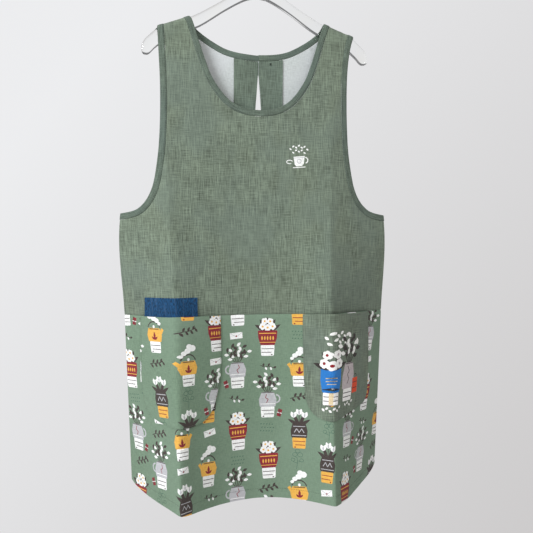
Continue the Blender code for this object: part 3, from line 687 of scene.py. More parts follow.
def swept(name, rows, material, uvs):
    """A closed tube through rows of points, each row a ring across it."""
    points = [p for row in rows for p in row]
    across = len(rows[0])
    faces = []
    for k in range(len(rows) - 1):
        for j in range(across):
            a, b = k * across + j, k * across + (j + 1) % across
            faces.append((a, b, b + across, a + across))
    faces += [tuple(range(across))[::-1], tuple(range(len(points) - across, len(points)))]
    piece = new_piece(name, points, faces, [material], uvs=uvs)
    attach(piece, "root")
    return piece


# Materials

class Nodes:
    """Short ways to build the nodes of a material, or of the world."""

    def __init__(self, name, made=None):
        self.made = made or bpy.data.materials.new(name)
        self.made.use_nodes = True
        self.nodes = self.made.node_tree.nodes
        self.links = self.made.node_tree.links
        self.shader = self.nodes.get("Principled BSDF")

    def put(self, node, key, value):
        """Gives an input its value, or links it to the socket that has it."""
        if isinstance(value, bpy.types.NodeSocket):
            self.links.new(value, node.inputs[key])
        else:
            node.inputs[key].default_value = value

    def add(self, kind, inputs=(), **settings):
        node = self.nodes.new("ShaderNode" + kind)
        for key, value in settings.items():
            setattr(node, key, value)
        for key, value in dict(inputs).items():
            self.put(node, key, value)
        return node

    def pattern(self):
        return self.add("UVMap", uv_map="pattern").outputs["UV"]

    def noise(self, where, across, along, detail=2.0, seed=0.0):
        """Noise over the flat cloth, with so many cells to the metre across and along."""
        scaled = self.add("Mapping", {"Vector": where, "Scale": (across, along, 1),
                                      "Location": (seed, seed, 0)})
        return self.add("TexNoise", {"Vector": scaled.outputs["Vector"], "Scale": 1.0,
                                     "Detail": detail}, noise_dimensions="2D").outputs["Fac"]

    def patches(self, noise, low, high, share, base, colour):
        """The base with a share of another colour where the noise is high."""
        return self.mix(self.spread(noise, low, high, 0.0, share), base, colour)

    def cloud(self, scale, detail, distortion=0.0):
        """Noise through a solid piece."""
        return self.add("TexNoise", {"Vector": self.add("TexCoord").outputs["Object"], "Scale": scale,
                                     "Detail": detail, "Distortion": distortion}).outputs["Fac"]

    def mix(self, share, a, b):
        node = self.add("Mix", {"Factor": share}, data_type="RGBA")
        for key, value in (("A", a), ("B", b)):
            self.put(node, key, (*value, 1) if isinstance(value, tuple) else value)
        return node.outputs["Result"]

    def sum(self, a, b, weight=1.0):
        scaled = self.add("Math", {0: b, 1: weight}, operation="MULTIPLY").outputs[0]
        return self.add("Math", {0: a, 1: scaled}, operation="ADD").outputs[0]

    def spread(self, value, low, high, to_low=0.0, to_high=1.0, curve="LINEAR"):
        return self.add("MapRange", {"Value": value, "From Min": low, "From Max": high,
                                     "To Min": to_low, "To Max": to_high},
                        interpolation_type=curve).outputs["Result"]

    def finish(self, colour, roughness, height, bump, strength, sheen=0.0, specular=0.2):
        made = self.add("Bump", {"Height": height, "Distance": bump, "Strength": strength})
        for key, value in (("Base Color", colour), ("Roughness", roughness),
                           ("Specular IOR Level", specular), ("Sheen Weight", sheen),
                           ("Sheen Roughness", 0.6), ("Normal", made.outputs["Normal"])):
            self.put(self.shader, key, value)
        return self.made


def shade(colour, factor):
    return tuple(c * factor for c in colour)


def tinted(colour, red, green, blue):
    return colour[0] * red, colour[1] * green, colour[2] * blue


def heather(name, colour, contrast=1.0):
    """Yarn-dyed cloth: fine uneven threads that run mostly downwards, and soft patches."""
    n = Nodes(name)
    where = n.pattern()
    warp = n.noise(where, 780, 42, 4.0, 1.7)
    weft = n.noise(where, 52, 740, 4.0, 5.1)
    threads = n.sum(n.sum(0.0, warp, 0.60), weft, 0.40)
    value = n.spread(n.sum(threads, n.noise(where, 30, 16, 4.0, 8.3), 0.16), 0.39, 0.77)
    base = n.mix(value, shade(colour, 1 - 0.54 * contrast), shade(colour, 1 + 0.56 * contrast))
    for cells, detail, seed, low, high, share, other in (
            ((470, 24), 2.0, 3.9, 0.60, 0.72, 0.42 * contrast, shade(colour, 1.9)),
            ((22, 400), 1.0, 6.6, 0.63, 0.76, 0.30 * contrast, shade(colour, 1.6)),
            ((10, 7), 2.0, 2.8, 0.46, 0.62, 0.12, tinted(colour, 1.05, 0.97, 0.78)),
            ((13, 9), 2.0, 12.8, 0.46, 0.62, 0.40, tinted(colour, 1.02, 1.05, 1.16))):
        base = n.patches(n.noise(where, *cells, detail, seed), low, high, share, base, other)
    weave = n.sum(n.noise(where, 1500, 260), n.noise(where, 260, 1500))
    return n.finish(base, 0.88, n.sum(weave, threads, 1.4), 0.0004, 0.5, 0.10)


def printed(name, colour, ground=None):
    """Plain cloth printed with one colour, a little of the ground showing through it."""
    n = Nodes(name)
    where = n.pattern()
    threads = n.sum(n.noise(where, 900, 120, 2.0, 1.1), n.noise(where, 120, 900, 2.0, 4.4))
    base = n.mix(n.spread(threads, 0.75, 1.25), shade(colour, 0.86), shade(colour, 1.12))
    base = n.patches(n.noise(where, 9, 7, 3.0, 7.7), 0.35, 0.68, 0.45, base,
                     tinted(colour, 1.22, 1.16, 1.24))
    if ground is not None:
        base = n.patches(n.noise(where, 700, 700, 1.0, 9.2), 0.60, 0.78, 0.30, base, ground)
    weave = n.sum(n.noise(where, 1600, 350), n.noise(where, 350, 1600))
    return n.finish(base, 0.86, weave, 0.0003, 0.5, 0.08)


def twill(name, colour):
    """Denim: fine slanted ribs, pale weft specks and uneven dye."""
    n = Nodes(name)
    where = n.pattern()
    turned = n.add("Mapping", {"Vector": where, "Rotation": (0, 0, math.radians(62))})
    ribs = n.add("TexWave", {"Vector": turned.outputs["Vector"], "Scale": 210.0, "Distortion": 1.6,
                             "Detail": 2.0, "Detail Scale": 2.0}, wave_type="BANDS").outputs["Fac"]
    speck = n.noise(where, 620, 210, 3.0, 2.2)
    value = n.spread(n.sum(n.sum(0.0, speck, 0.8), ribs, 0.2), 0.34, 0.70)
    base = n.mix(value, shade(colour, 0.35), shade(colour, 1.75))
    base = n.patches(n.noise(where, 240, 30, 1.0, 5.5), 0.58, 0.72, 0.50, base,
                     (colour[0] * 3.2 + 0.02, colour[1] * 1.9, colour[2] * 1.5))
    return n.finish(base, 0.88, n.sum(ribs, speck, 1.5), 0.0005, 0.7, 0.08)


def thread(name, colour):
    n = Nodes(name)
    fuzz = n.cloud(2400.0, 2.0)
    base = n.mix(n.spread(fuzz, 0.3, 0.7), shade(colour, 0.75), shade(colour, 1.25))
    return n.finish(base, 0.7, fuzz, 0.0001, 0.5, 0.1)


def clear_plastic():
    """Clear moulded plastic with faint ripples and a few fine rubs."""
    n = Nodes("clear_plastic")
    ripple = n.cloud(34.0, 2.0)
    tint = n.mix(n.spread(ripple, 0.3, 0.7), (0.985, 0.985, 0.965), (0.97, 0.98, 0.985))
    rubs = n.spread(n.cloud(420.0, 4.0), 0.45, 0.80, 0.0, 0.03)
    n.put(n.shader, "Transmission Weight", 1.0)
    n.put(n.shader, "IOR", 1.49)
    return n.finish(tint, rubs, ripple, 0.0003, 0.25, specular=0.5)


def polished_steel():
    n = Nodes("hook_steel")
    where = n.add("TexCoord").outputs["Object"]
    drawn = n.add("Mapping", {"Vector": where, "Scale": (900, 900, 60)}).outputs["Vector"]
    lines = n.add("TexNoise", {"Vector": drawn, "Scale": 1.0, "Detail": 3.0}).outputs["Fac"]
    cloud = n.cloud(90.0, 2.0)
    base = n.mix(n.spread(cloud, 0.3, 0.7), (0.66, 0.66, 0.67), (0.78, 0.78, 0.79))
    rough = n.spread(n.sum(n.sum(0.0, lines, 0.5), cloud, 0.5), 0.3, 0.7, 0.10, 0.26)
    n.put(n.shader, "Metallic", 1.0)
    return n.finish(base, rough, lines, 0.00005, 0.3, specular=0.5)


def button_plastic():
    n = Nodes("button_plastic")
    swirl = n.cloud(260.0, 3.0, 1.5)
    base = n.mix(n.spread(swirl, 0.3, 0.7), (0.045, 0.065, 0.05), (0.11, 0.15, 0.115))
    return n.finish(base, n.spread(swirl, 0.3, 0.7, 0.22, 0.38), swirl, 0.0001, 0.2, specular=0.5)


# Printed motifs, drawn in millimetres as pairs of an ink and a polygon

MAROON, MUSTARD, GREY, WHITE, CHARCOAL, LINE = range(1, 7)


def ink(colour, shapes):
    return [(colour, shape) for shape in shapes]


def disc(x, y, rx, ry=None, n=14):
    ry = rx if ry is None else ry
    turns = [2 * math.pi * k / n for k in range(n)]
    return [(x + rx * math.cos(t), y + ry * math.sin(t)) for t in turns]


def leaf(x, y, length, width, turn):
    """A leaf from its foot at x, y, pointing along turn degrees."""
    c, s = math.cos(math.radians(turn)), math.sin(math.radians(turn))
    shape = [(0, 0), (0.25, 0.75), (0.55, 1), (0.8, 0.6), (1, 0), (0.8, -0.6), (0.55, -1), (0.25, -0.75)]
    return [(x + a * length * c - b * width / 2 * s, y + a * length * s + b * width / 2 * c)
            for a, b in shape]


def bar(x0, y0, x1, y1, width):
    dx, dy = x1 - x0, y1 - y0
    size = math.hypot(dx, dy)
    px, py = -dy / size * width / 2, dx / size * width / 2
    return [(x0 + px, y0 + py), (x0 - px, y0 - py), (x1 - px, y1 - py), (x1 + px, y1 + py)]


def level(half, y, width):
    return bar(-half, y, half, y, width)


def line(points, width):
    return [bar(*a, *b, width) for a, b in zip(points, points[1:])]


def arc(x, y, r, start, end, width, n=8, squeeze=1.0):
    turns = [math.radians(lerp(start, end, k / n)) for k in range(n + 1)]
    return line([(x + r * math.cos(t), y + r * squeeze * math.sin(t)) for t in turns], width)


def tub(bottom, top, y0, y1, bulge=1.0):
    """A pot's side view, wider or narrower at its top, its corners cut."""
    return [(-bottom + 1.5, y0), (bottom - 1.5, y0), (bottom, y0 + 1.5),
            (lerp(bottom, top, 0.5) + bulge, (y0 + y1) / 2), (top, y1 - 1.5), (top - 1, y1),
            (1 - top, y1), (-top, y1 - 1.5), (-lerp(bottom, top, 0.5) - bulge, (y0 + y1) / 2),
            (-bottom, y0 + 1.5)]


def crate(colour, slats):
    """A slatted crate that each pot stands on."""
    return [(colour, tub(11.5, 12.5, -36, -17, 0))] + ink(slats, [
        level(11, -23.4, 1.2), bar(-7, -29.8, 11, -29.8, 1.2), disc(-7.5, -34, 1.6, 1.2, 8)])


def flower(x, y, r, petals, turn, size, corners, bloom, heart):
    """Round petals about a heart."""
    turns = [math.radians(360 / petals * k + turn) for k in range(petals)]
    return ink(bloom, [disc(x + r * 0.52 * math.cos(t), y + r * 0.52 * math.sin(t), r * size, n=corners)
                       for t in turns]) + [(heart, disc(x, y, r * 0.30, n=corners))]


def twigs(stems, foot, width, leaf_size, tilt, part, dark, pale):
    """Straight stems from one foot, with dark and pale leaves along them."""
    shapes = []
    for turn, size in stems:
        c, s = math.cos(math.radians(turn)), math.sin(math.radians(turn))
        shapes.append((dark, bar(0, foot, size * c, foot + size * s, width)))
        for k, share in enumerate((0.45, 0.62, 0.8, 0.98)):
            shapes.append((dark if (k + turn // part) % 2 else pale,
                           leaf(size * share * c, foot + size * share * s, *leaf_size,
                                turn + (tilt if k % 2 else -tilt))))
    return shapes


def potted():
    """Flowers in a banded maroon pot."""
    shapes = crate(WHITE, CHARCOAL)
    shapes += ink(CHARCOAL, [leaf(0, 6, 27, 7.5, turn) for turn in (150, 122, 90, 58, 30)])
    for x, y, r in ((-9, 16, 6.4), (9, 16, 6.4), (0, 14, 6.6), (-4.6, 25, 6.2), (5.2, 25.5, 6.2)):
        shapes += flower(x, y, r, 5, 18 + x * 5, 0.48, 8, WHITE, MUSTARD)
    shapes.append((MAROON, tub(13, 17.5, -17, 9, 1.5)))
    return shapes + ink(MUSTARD, [level(15.4, 4, 1.6), level(14, -12, 1.2)]
                        + [leaf(-10 + 5 * k, -8.5, 8, 3.2, 90) for k in range(5)])


def kettle():
    """A mustard kettle under a puff of steam."""
    shapes = crate(WHITE, CHARCOAL) + ink(CHARCOAL, arc(0, 2, 15, 20, 160, 2.0))
    shapes += ink(MUSTARD, [bar(11, -8, 20, 5, 5.5), tub(15, 13.5, -17, 6, 3.0)])
    shapes += [(CHARCOAL, level(11, 4.4, 1.4)), (WHITE, disc(0, 8.6, 2.6, 2.6, 8))]
    shapes += ink(MAROON, [leaf(0, -14, 14, 5, 90), leaf(0, -14, 9, 3.6, 140), leaf(0, -14, 9, 3.6, 40)])
    return shapes + ink(WHITE, [disc(x, y, r, r * 0.80, 12) for x, y, r in (
        (13, 14, 3.6), (8, 19, 5.0), (1, 23, 6.0), (-8, 27, 6.8), (-2, 30, 5.4))])


def jug():
    """Twigs in a grey jug, with a small maroon box beside it."""
    shapes = crate(WHITE, CHARCOAL)
    shapes += twigs(((128, 30), (108, 33), (90, 34), (72, 33), (52, 30)), 4, 1.3, (9.5, 5.2), 48, 18,
                    CHARCOAL, WHITE)
    shapes += ink(GREY, arc(15, -3, 7, -90, 90, 2.6, 6) + [tub(14.5, 11.5, -17, 9, 3.0)])
    shapes += ink(MAROON, line([(-2, 5), (-4, -1), (1, -4), (-2, -10)], 1.3))
    return shapes + [(CHARCOAL, level(11, 8, 1.2)), (WHITE, level(13.5, -12, 1.3)),
                     (MAROON, bar(18, -27, 25, -29, 13)), (WHITE, bar(17.2, -27, 25.6, -29.2, 1.3)),
                     (CHARCOAL, bar(20.5, -20, 22.5, -35, 1.1))]


def tulips():
    """White tulips in a ribbed dark pot on a mustard crate."""
    shapes = crate(MUSTARD, MAROON) + ink(CHARCOAL, [leaf(0, 4, 24, 6, t) for t in (150, 30, 115, 65)])
    for x, y in ((-10, 20), (0, 25), (10, 20)):
        shapes.append((CHARCOAL, bar(x * 0.4, 4, x, y, 1.3)))
        shapes += ink(WHITE, [leaf(x, y - 2, 12, 7, turn) for turn in (68, 112)])
        shapes.append((GREY, leaf(x, y - 2, 9, 3.2, 90)))
    shapes.append((CHARCOAL, tub(14.5, 12.5, -17, 8, 2.0)))
    return shapes + ink(GREY, [level(11, 3, 1.2), level(13, -13, 1.2)]
                        + line([(-9, -8), (-4.5, -1), (0, -8), (4.5, -1), (9, -8)], 1.2))


def envelope():
    return ([(WHITE, bar(-11, 0, 11, 2.4, 10.5))]
            + ink(GREY, line([(-10.5, 4.6), (0.4, -0.6), (10.2, 6.9)], 0.9))
            + [(MAROON, disc(0.3, 0.4, 1.6, 1.6, 8))])


def twig():
    shapes = ink(CHARCOAL, line([(-13, 2), (-6, -1), (2, 0), (10, -3)], 1.1))
    return shapes + [(CHARCOAL if turn > 0 else WHITE, leaf(x, y, 6.2, 3.6, turn)) for x, y, turn in (
        (-9, 0, 70), (-5, -1, -60), (0, 0, 60), (4, -1, -70), (9, -3, 20))]


def sprig():
    """A loose line drawing of a flower with its stalk."""
    shapes = line([(0, -21), (1, -8), (-1, 2)], 0.9)
    for x, y, r in ((-6, 8, 5), (5, 9, 5.4), (-1, 16, 5.2), (9, -2, 4), (-9, -3, 4.2)):
        shapes += arc(x, y, r, 0, 360, 0.85, 9, 0.8)
    return ink(LINE, shapes + [bar(-1, 2, -6, 4, 0.8), bar(0, -4, 8, -5, 0.8), bar(1, -9, -8, -7, 0.8)])


def branch():
    """A leafy branch in one dark colour, broad and low."""
    leaves = ((-12, -2), (-8, 0), (-3, 0.6), (1, 1), (6, 2.4), (10, 3.6), (14, 6))
    return ink(CHARCOAL, line([(-15, -3), (-7, 0), (2, 1), (11, 4), (16, 7)], 1.3)
               + [leaf(x, y, 8.2, 4.2, 62 if k % 2 else -44) for k, (x, y) in enumerate(leaves)])


def rain():
    """Three short rows of drops."""
    return ink(LINE, [leaf(x + (2 if y == 0 else 0), y, 3.4, 1.6, 25)
                      for y in (6, 0, -6) for x in range(-12, 11, 5)])


def garland(x, y, half, rise, colour, count, size):
    """Small leaves on an arc."""
    turns = [2 * k / (count - 1) - 1 for k in range(count)]
    return ink(colour, [leaf(x + t * half - size / 2, y - rise * t * t, size * 1.7, size,
                             35 if k % 2 else -35) for k, t in enumerate(turns)])


BIG = (potted, kettle, jug, tulips)
SMALL = (envelope, branch, twig, sprig, rain)


def placed(shapes, x, z, turn=0.0, size=1.0, flip=1):
    """Motif shapes moved to their place on the flat cloth, in metres."""
    c, s = math.cos(math.radians(turn)) * size / 1000, math.sin(math.radians(turn)) * size / 1000
    return [([(x + a * flip * c - b * s, z + a * flip * s + b * c) for a, b in polygon], index)
            for index, polygon in shapes]


def scatter(shift_x, shift_z, outline):
    """The skirt print: pots and small things in staggered columns over an outline's box."""
    xs, zs = [p[0] * FLAT_SHARE for p in outline], [p[1] for p in outline]
    prints = []
    for i in range(int((min(xs) - shift_x) / PRINT_COLUMN) - 1,
                   int((max(xs) - shift_x) / PRINT_COLUMN) + 2):
        for j in range(int((min(zs) - shift_z) / PRINT_RISE) - 2,
                       int((max(zs) - shift_z) / PRINT_RISE) + 3):
            x = shift_x + i * PRINT_COLUMN
            z = shift_z + (j + 0.5 * (i % 2)) * PRINT_RISE
            sway = noise_at(i * 1.7, j * 2.3, 0.5)
            big = BIG[(i * 3 + j * 2 + i // 2) % len(BIG)]
            small = SMALL[(i * 2 + j * 3) % len(SMALL)]
            prints += placed(big(), x + 0.003 * sway, z, 4 * sway, 0.97, 1 if (i + j) % 2 else -1)
            prints += placed(small(), x - 0.004 * sway, z + PRINT_RISE / 2, -8 * sway,
                             0.84 if small is sprig else 1.0)
    return prints


def chest_emblem():
    """A white garland over a small cup."""
    shapes = garland(2, 19, 15, 3.5, WHITE, 7, 3.0) + garland(2, 11.5, 10, 2.0, WHITE, 5, 2.8)
    shapes += ink(WHITE, [[(-7, 1), (13, 3), (11, -11), (8, -14.5), (-2, -15.5), (-5, -12.5)]]
                  + arc(13.5, -4.5, 5, -80, 85, 1.8, 6) + arc(-14, -8, 5.5, 20, 300, 1.3, 10, 0.55))
    shapes += ink(GREY, arc(3, -6.5, 3.6, 0, 360, 1.3, 10) + [bar(-6, -1.2, 12, 0.4, 1.0)])
    return shapes + [(WHITE, bar(-8, -17.8, 14, -16.2, 1.5))]


BLUE, ORANGE, ROSE, CREAM, RED, CHALK, INK = range(1, 8)


def moved(shapes, x, y):
    return [(i, [(a + x, b + y) for a, b in polygon]) for i, polygon in shapes]


def pocket_picture():
    """A blue jar of white flowers beside a pale jug of twigs and an orange box."""
    jar = [(CHALK, tub(14, 14, -59, -38, 0))] + ink(INK, [level(13, -45, 1.4), level(13, -52, 1.4)])
    jar += [(CREAM, bar(0, -39, 0, -58, 7)), (BLUE, tub(15.5, 18, -38, 3, 2))]
    jar += ink(CREAM, [level(9, -14, 1.7), level(9, -19, 1.5), level(7, -24, 1.3)])
    jar += ink(INK, [level(15, -33, 1.2)] + [leaf(0, 0, 34, 9, turn) for turn in (20, 62, 118, 160)])
    for x, y, r in ((-12, 11, 9), (12, 11, 9), (0, 7, 9), (-7, 25, 8.5), (8, 26, 8.5)):
        jar += flower(x, y, r, 6, 20, 0.44, 10, CHALK, RED if x < 1 else ROSE)
    pale = twigs(((122, 42), (106, 48), (90, 51), (74, 48), (58, 42)), 0, 1.8, (13, 7.5), 45, 16,
                 INK, CHALK)
    pale += [(CHALK, tub(13, 13, -59, -38, 0))] + ink(INK, [level(12, -45, 1.4), level(12, -52, 1.4)])
    pale.append((ROSE, tub(17, 12, -38, 6, 3)))
    pale += ink(INK, line([(-3, 0), (2, -8), (-3, -14), (2, -22), (-2, -30)], 1.3)
                + [level(11, 4.6, 1.5)])
    pale.append((ORANGE, bar(22, -22, 23, -48, 16)))
    pale += ink(INK, [bar(15, -30, 30, -29.4, 1.2), bar(15.4, -40, 30.4, -39.4, 1.2)]
                + arc(22, -20, 4.5, 0, 180, 1.5, 6))
    return (garland(-12, 60, 19, 4, CHALK, 6, 5.2) + garland(-12, 49, 15, 3, CHALK, 5, 5.0)
            + moved(jar, -22, 0) + moved(pale, 19, 3)
            + garland(-20, -67, 16, -2, CHALK, 6, 4.0) + garland(24, -62, 10, -2, CHALK, 4, 3.8))


# Pieces

make_camera()
make_world()
make_floor()
area_light("key", (-2.0, -1.5, 0.55), (0, 0, -0.5), 1.3, 74, (0.97, 0.985, 1.0), True)
area_light("fill", (0.3, -1.5, 0.6), (0, 0, -0.2), 0.8, 8, (1.0, 0.99, 0.98))
area_light("back", (1.6, 2.2, 0.5), (0, 0, -0.5), 1.6, 34, (1.0, 0.99, 0.98))
bpy.context.scene.view_settings.view_transform = "Standard"

GREEN = (0.131, 0.166, 0.127)
PRINT_GREEN = (0.152, 0.227, 0.160)
bodice_cloth = heather("bodice_cloth", GREEN)
binding_cloth = heather("binding_cloth", (0.091, 0.121, 0.097), 0.9)
facing_cloth = heather("facing_cloth", (0.109, 0.145, 0.116), 0.9)
skirt_cloth = printed("skirt_cloth", PRINT_GREEN)
wrong_side = printed("wrong_side", (0.465, 0.505, 0.50))
inks = [printed("ink_" + name, colour, PRINT_GREEN) for name, colour in (
    ("maroon", (0.215, 0.018, 0.030)), ("mustard", (0.680, 0.375, 0.070)),
    ("grey", (0.430, 0.440, 0.460)), ("white", (0.76, 0.78, 0.77)),
    ("charcoal", (0.050, 0.038, 0.036)), ("line_green", (0.060, 0.125, 0.085)))]
picture_inks = [printed("ink_" + name, colour, GREEN) for name, colour in (
    ("blue", (0.020, 0.165, 0.480)), ("orange", (0.600, 0.060, 0.018)),
    ("rose", (0.450, 0.405, 0.420)), ("cream", (0.62, 0.52, 0.33)),
    ("red", (0.230, 0.012, 0.018)), ("chalk", (0.80, 0.81, 0.79)), ("ink", (0.035, 0.028, 0.028)))]
print_materials = [skirt_cloth] + inks + [wrong_side]
denim = twill("denim", (0.0055, 0.0475, 0.124))
green_thread = thread("green_thread", (0.13, 0.18, 0.13))
seam_thread = thread("seam_thread", (0.045, 0.062, 0.045))
dark_thread = thread("dark_thread", (0.02, 0.03, 0.025))
blue_thread = thread("blue_thread", (0.02, 0.05, 0.14))


def waist_dip(x, z):
    """Lets the edges roll in where they are sewn together at the waist."""
    return -WAIST_ROLL * (1 - np.clip(np.abs(z - WAIST_Z) / WAIST_ROLL_RUN, 0, 1)) ** 2


def build_front():
    _, seam = neck_lines(FRONT, BINDING_WIDTH + GAP)
    halves = []
    for sign in (-1, 1):
        _, arm = armhole_lines(FRONT, sign, BINDING_WIDTH + GAP)
        halves.append(seam[::-1] + arm + side_line(sign, arm[-1][1], WAIST_Z + GAP / 2)[1:])
    left, right = halves
    emblem = placed(chest_emblem(), 0.0672, -0.3640)
    bodice = cloth("bodice_front", FRONT, right + mirrored(left)[:-1], waist_dip,
                   [bodice_cloth, inks[WHITE - 1], inks[GREY - 1], bodice_cloth],
                   [(p, {WHITE: 1, GREY: 2}[i]) for p, i in emblem])
    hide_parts("front_bodice")

    left, right = (side_line(sign, WAIST_Z - GAP / 2, HEM_Z + HEM_RISE)
                   + hem_line(sign, FRONT_HEM)[1:] for sign in (-1, 1))
    outline = right + mirrored(left)[1:]
    skirt = cloth("skirt_front", FRONT, outline, waist_dip, print_materials,
                  scatter(0.0115, -0.671, outline))
    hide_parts("front_skirt")
    return bodice, skirt


def build_back():
    _, seam = neck_lines(BACK, BINDING_WIDTH + GAP)
    neck = whole(seam, seam)
    outers = []
    for sign in (-1, 1):
        _, arm = armhole_lines(BACK, sign, BINDING_WIDTH + GAP)
        outers.append(arm + side_line(sign, arm[-1][1], HEM_Z + HEM_RISE)[1:])
    left_outer, right_outer = outers
    foot_line = hem(BACK_HEM)
    hem_mid = hem_line(1, BACK_HEM)[-1][1]
    left_edge, right_edge = slit_edges(hem_mid)
    right_top = height_on(neck, SLIT_X + GAP)
    outline = between(neck, right_edge, seam[0][0] + GAP) + right_outer
    outline += between(foot_line, right_edge, right_outer[-1][0])[::-1]
    outline += centre_line(right_top, hem_mid, 1)[1:-1][::-1]
    right = cloth("back_half_right", BACK, outline, 0, print_materials,
                  scatter(0.031, -0.640, outline))
    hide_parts("back_right")

    lap_end = SLIT_X + LAP_WIDTH
    lap_foot = NECK_Z - SLIT_TOP + GAP
    outline = mirrored(left_outer) + between(neck, -seam[0][0] - GAP, lap_end)
    outline += [(lap_end, lap_foot), (SLIT_X + LAP_WIDTH / 2, lap_foot), (SLIT_X, lap_foot)]
    outline += centre_line(lap_foot, hem_mid, 0)[1:-1]
    outline += between(foot_line, -left_outer[-1][0], left_edge)[::-1]
    left = cloth("back_half_left", BACK, outline[:-1], lap, print_materials,
                 scatter(-0.012, -0.615, outline))
    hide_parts("back_left")

    foot = NECK_Z - SLIT_TOP - SLIT_LENGTH - FACING_BEYOND
    facings = []
    for node, name, edge, sign in (("facing_left", "slit_facing_left", 0, -1),
                                   ("facing_right", "slit_facing_right", 1, 1)):
        inner = slit_edges(NECK_Z - SLIT_TOP)[edge] + sign * GAP
        outer_x = inner + sign * FACING_WIDTH
        low, high = sorted((inner, outer_x))
        top = between(neck, low, high)
        top = [(x, z - GAP) for x, z in (top if sign < 0 else top[::-1])]
        slit = [(x + sign * GAP, z) for x, z in centre_line(top[-1][1], foot, edge)]
        outline = top + slit[1:] + [(outer_x, foot)]
        facing = cloth(name, BACK, outline, lambda x, z: lap(x, z) * (sign < 0) - CLOTH - LAYER_GAP,
                       [facing_cloth] * 2)
        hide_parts(node)
        facings.append(facing)
    return left, right, facings


def gape(x, z):
    """How far a pocket's mouth stands off the skirt."""
    u = np.clip((np.abs(x) - POCKET_INSET) / POCKET_WIDTH, 0, 1)
    v = np.clip((WAIST_Z - z) / POCKET_DEPTH, 0, 1)
    return CLOTH + LAYER_GAP + POCKET_GAPE * np.sin(np.pi * u) ** 0.7 * (1 - v) ** 1.3


def pocket_edge(sign):
    table = LEFT_POCKET if sign < 0 else RIGHT_POCKET
    return smooth_line([(sign * (POCKET_INSET + w * POCKET_WIDTH), WAIST_Z - GAP - d * POCKET_DEPTH)
                        for w, d in table], OUTLINE_STEPS)


TAB_RIGHT = -(POCKET_INSET + TAB_INSET)
TAB_LEFT = TAB_RIGHT - TAB_WIDTH
TAB_TOP = WAIST_Z + TAB_STAND


def build_pockets():
    outline = pocket_edge(-1)
    left = cloth("pocket_left", FRONT, outline, gape, print_materials,
                 scatter(-0.0275, -0.712, outline))
    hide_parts("left_pocket")
    right = cloth("pocket_right", FRONT, pocket_edge(1), gape,
                  [bodice_cloth] + picture_inks + [bodice_cloth],
                  placed(pocket_picture(), float(girth(FRONT, 0.1325, -0.735)), -0.729))
    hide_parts("right_pocket")

    foot = WAIST_Z - TAB_SINK
    tab = cloth("tab", FRONT, [(TAB_LEFT, TAB_TOP), (TAB_RIGHT, TAB_TOP), (TAB_RIGHT, foot),
                               (TAB_LEFT, foot)], CLOTH + LAYER_GAP, [denim] * 2, thickness=TAB_CLOTH)
    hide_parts("denim_tab")
    return left, right, tab


PROFILE = [(0.5 - 0.5 * math.copysign(abs(math.cos(t)) ** 0.55, math.cos(t)),
            0.5 * math.copysign(abs(math.sin(t)) ** 0.75, math.sin(t)))
           for t in [2 * math.pi * k / 16 for k in range(16)]]  # a binding's section, from edge to seam


def binding_rows(side, pairs, lapped=False):
    """Rings round a binding, from its edge line and seam line."""
    rows = []
    for (ax, az), (bx, bz) in pairs:
        room = min(max((side_width(ax, az) - abs(ax)) / BINDING_WIDTH, 0), 1)
        if az > UNDERARM_Z + 4 * BINDING_WIDTH:
            room = 1
        t, rise = np.array(PROFILE).T
        x, z = lerp(ax, bx, t), lerp(az, bz, t)
        middle = lerp(BINDING_THICKNESS / 2, CLOTH / 2, room)
        pucker = noise_at(ax * 170 + az * 60, side * 3, az * 170 - ax * 60)
        pucker += 0.6 * noise_at(ax * 420, side * 5, az * 420)
        out = middle + rise * (BINDING_THICKNESS - GAP) + TAPE_PUCKER * pucker * np.maximum(rise, 0)
        if lapped:
            out += lap(x, z)
        if abs(below_shoulder((ax, az))) < 1e-6:
            rows.append(np.stack([x, 0 * x, shoulder_z(x) + out], -1))
        else:
            rows.append(surface(side, x, z, out))
    return rows


def paired(lines, flip=1):
    return [((flip * a[0], a[1]), (flip * b[0], b[1])) for a, b in zip(*lines)]


def binding(name, rows, node):
    run = [0.0]
    for a, b in zip(rows, rows[1:]):
        run.append(run[-1] + float(np.linalg.norm(b[0] - a[0])))
    uvs = [(t[0] * BINDING_WIDTH + 0.02 * t[1], s) for s in run for t in PROFILE]
    piece = swept(name, rows, binding_cloth, uvs)
    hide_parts(node)
    return piece


def build_bindings():
    front = neck_lines(FRONT, BINDING_WIDTH)
    back = neck_lines(BACK, BINDING_WIDTH)
    pairs = paired(back)
    over = paired(back, -1) + pairs[::-1][1:]

    def stretch(low, high):
        """The back neck's pairs between two widths, both ends made."""
        kept = []
        for (a, b), (c, d) in zip(over, over[1:]):
            if low <= a[0] <= high:
                kept.append((a, b))
            for x in (low, high):
                if a[0] < x < c[0]:
                    t = (x - a[0]) / (c[0] - a[0])
                    kept.append(tuple((lerp(p[0], q[0], t), lerp(p[1], q[1], t))
                                      for p, q in ((a, c), (b, d))))
        if over[-1][0][0] <= high:
            kept.append(over[-1])
        return kept

    right = binding_rows(BACK, stretch(SLIT_X + GAP, NECK_HALF))
    left = binding_rows(BACK, stretch(-NECK_HALF, SLIT_X + LAP_WIDTH), True)
    rows = left[::-1] + binding_rows(FRONT, paired(front, -1))[1:]
    rows += binding_rows(FRONT, paired(front))[::-1][1:] + right[::-1][1:]
    made = [binding("binding_neck", rows, "neck_binding")]
    for name, flip, node in (("binding_armhole_right", 1, "armhole_binding_right"),
                             ("binding_armhole_left", -1, "armhole_binding_left")):
        front, back = (binding_rows(side, paired(armhole_lines(side, flip, BINDING_WIDTH), flip))
                       for side in (FRONT, BACK))
        made.append(binding(name, back[::-1] + front[1:], node))
    return made


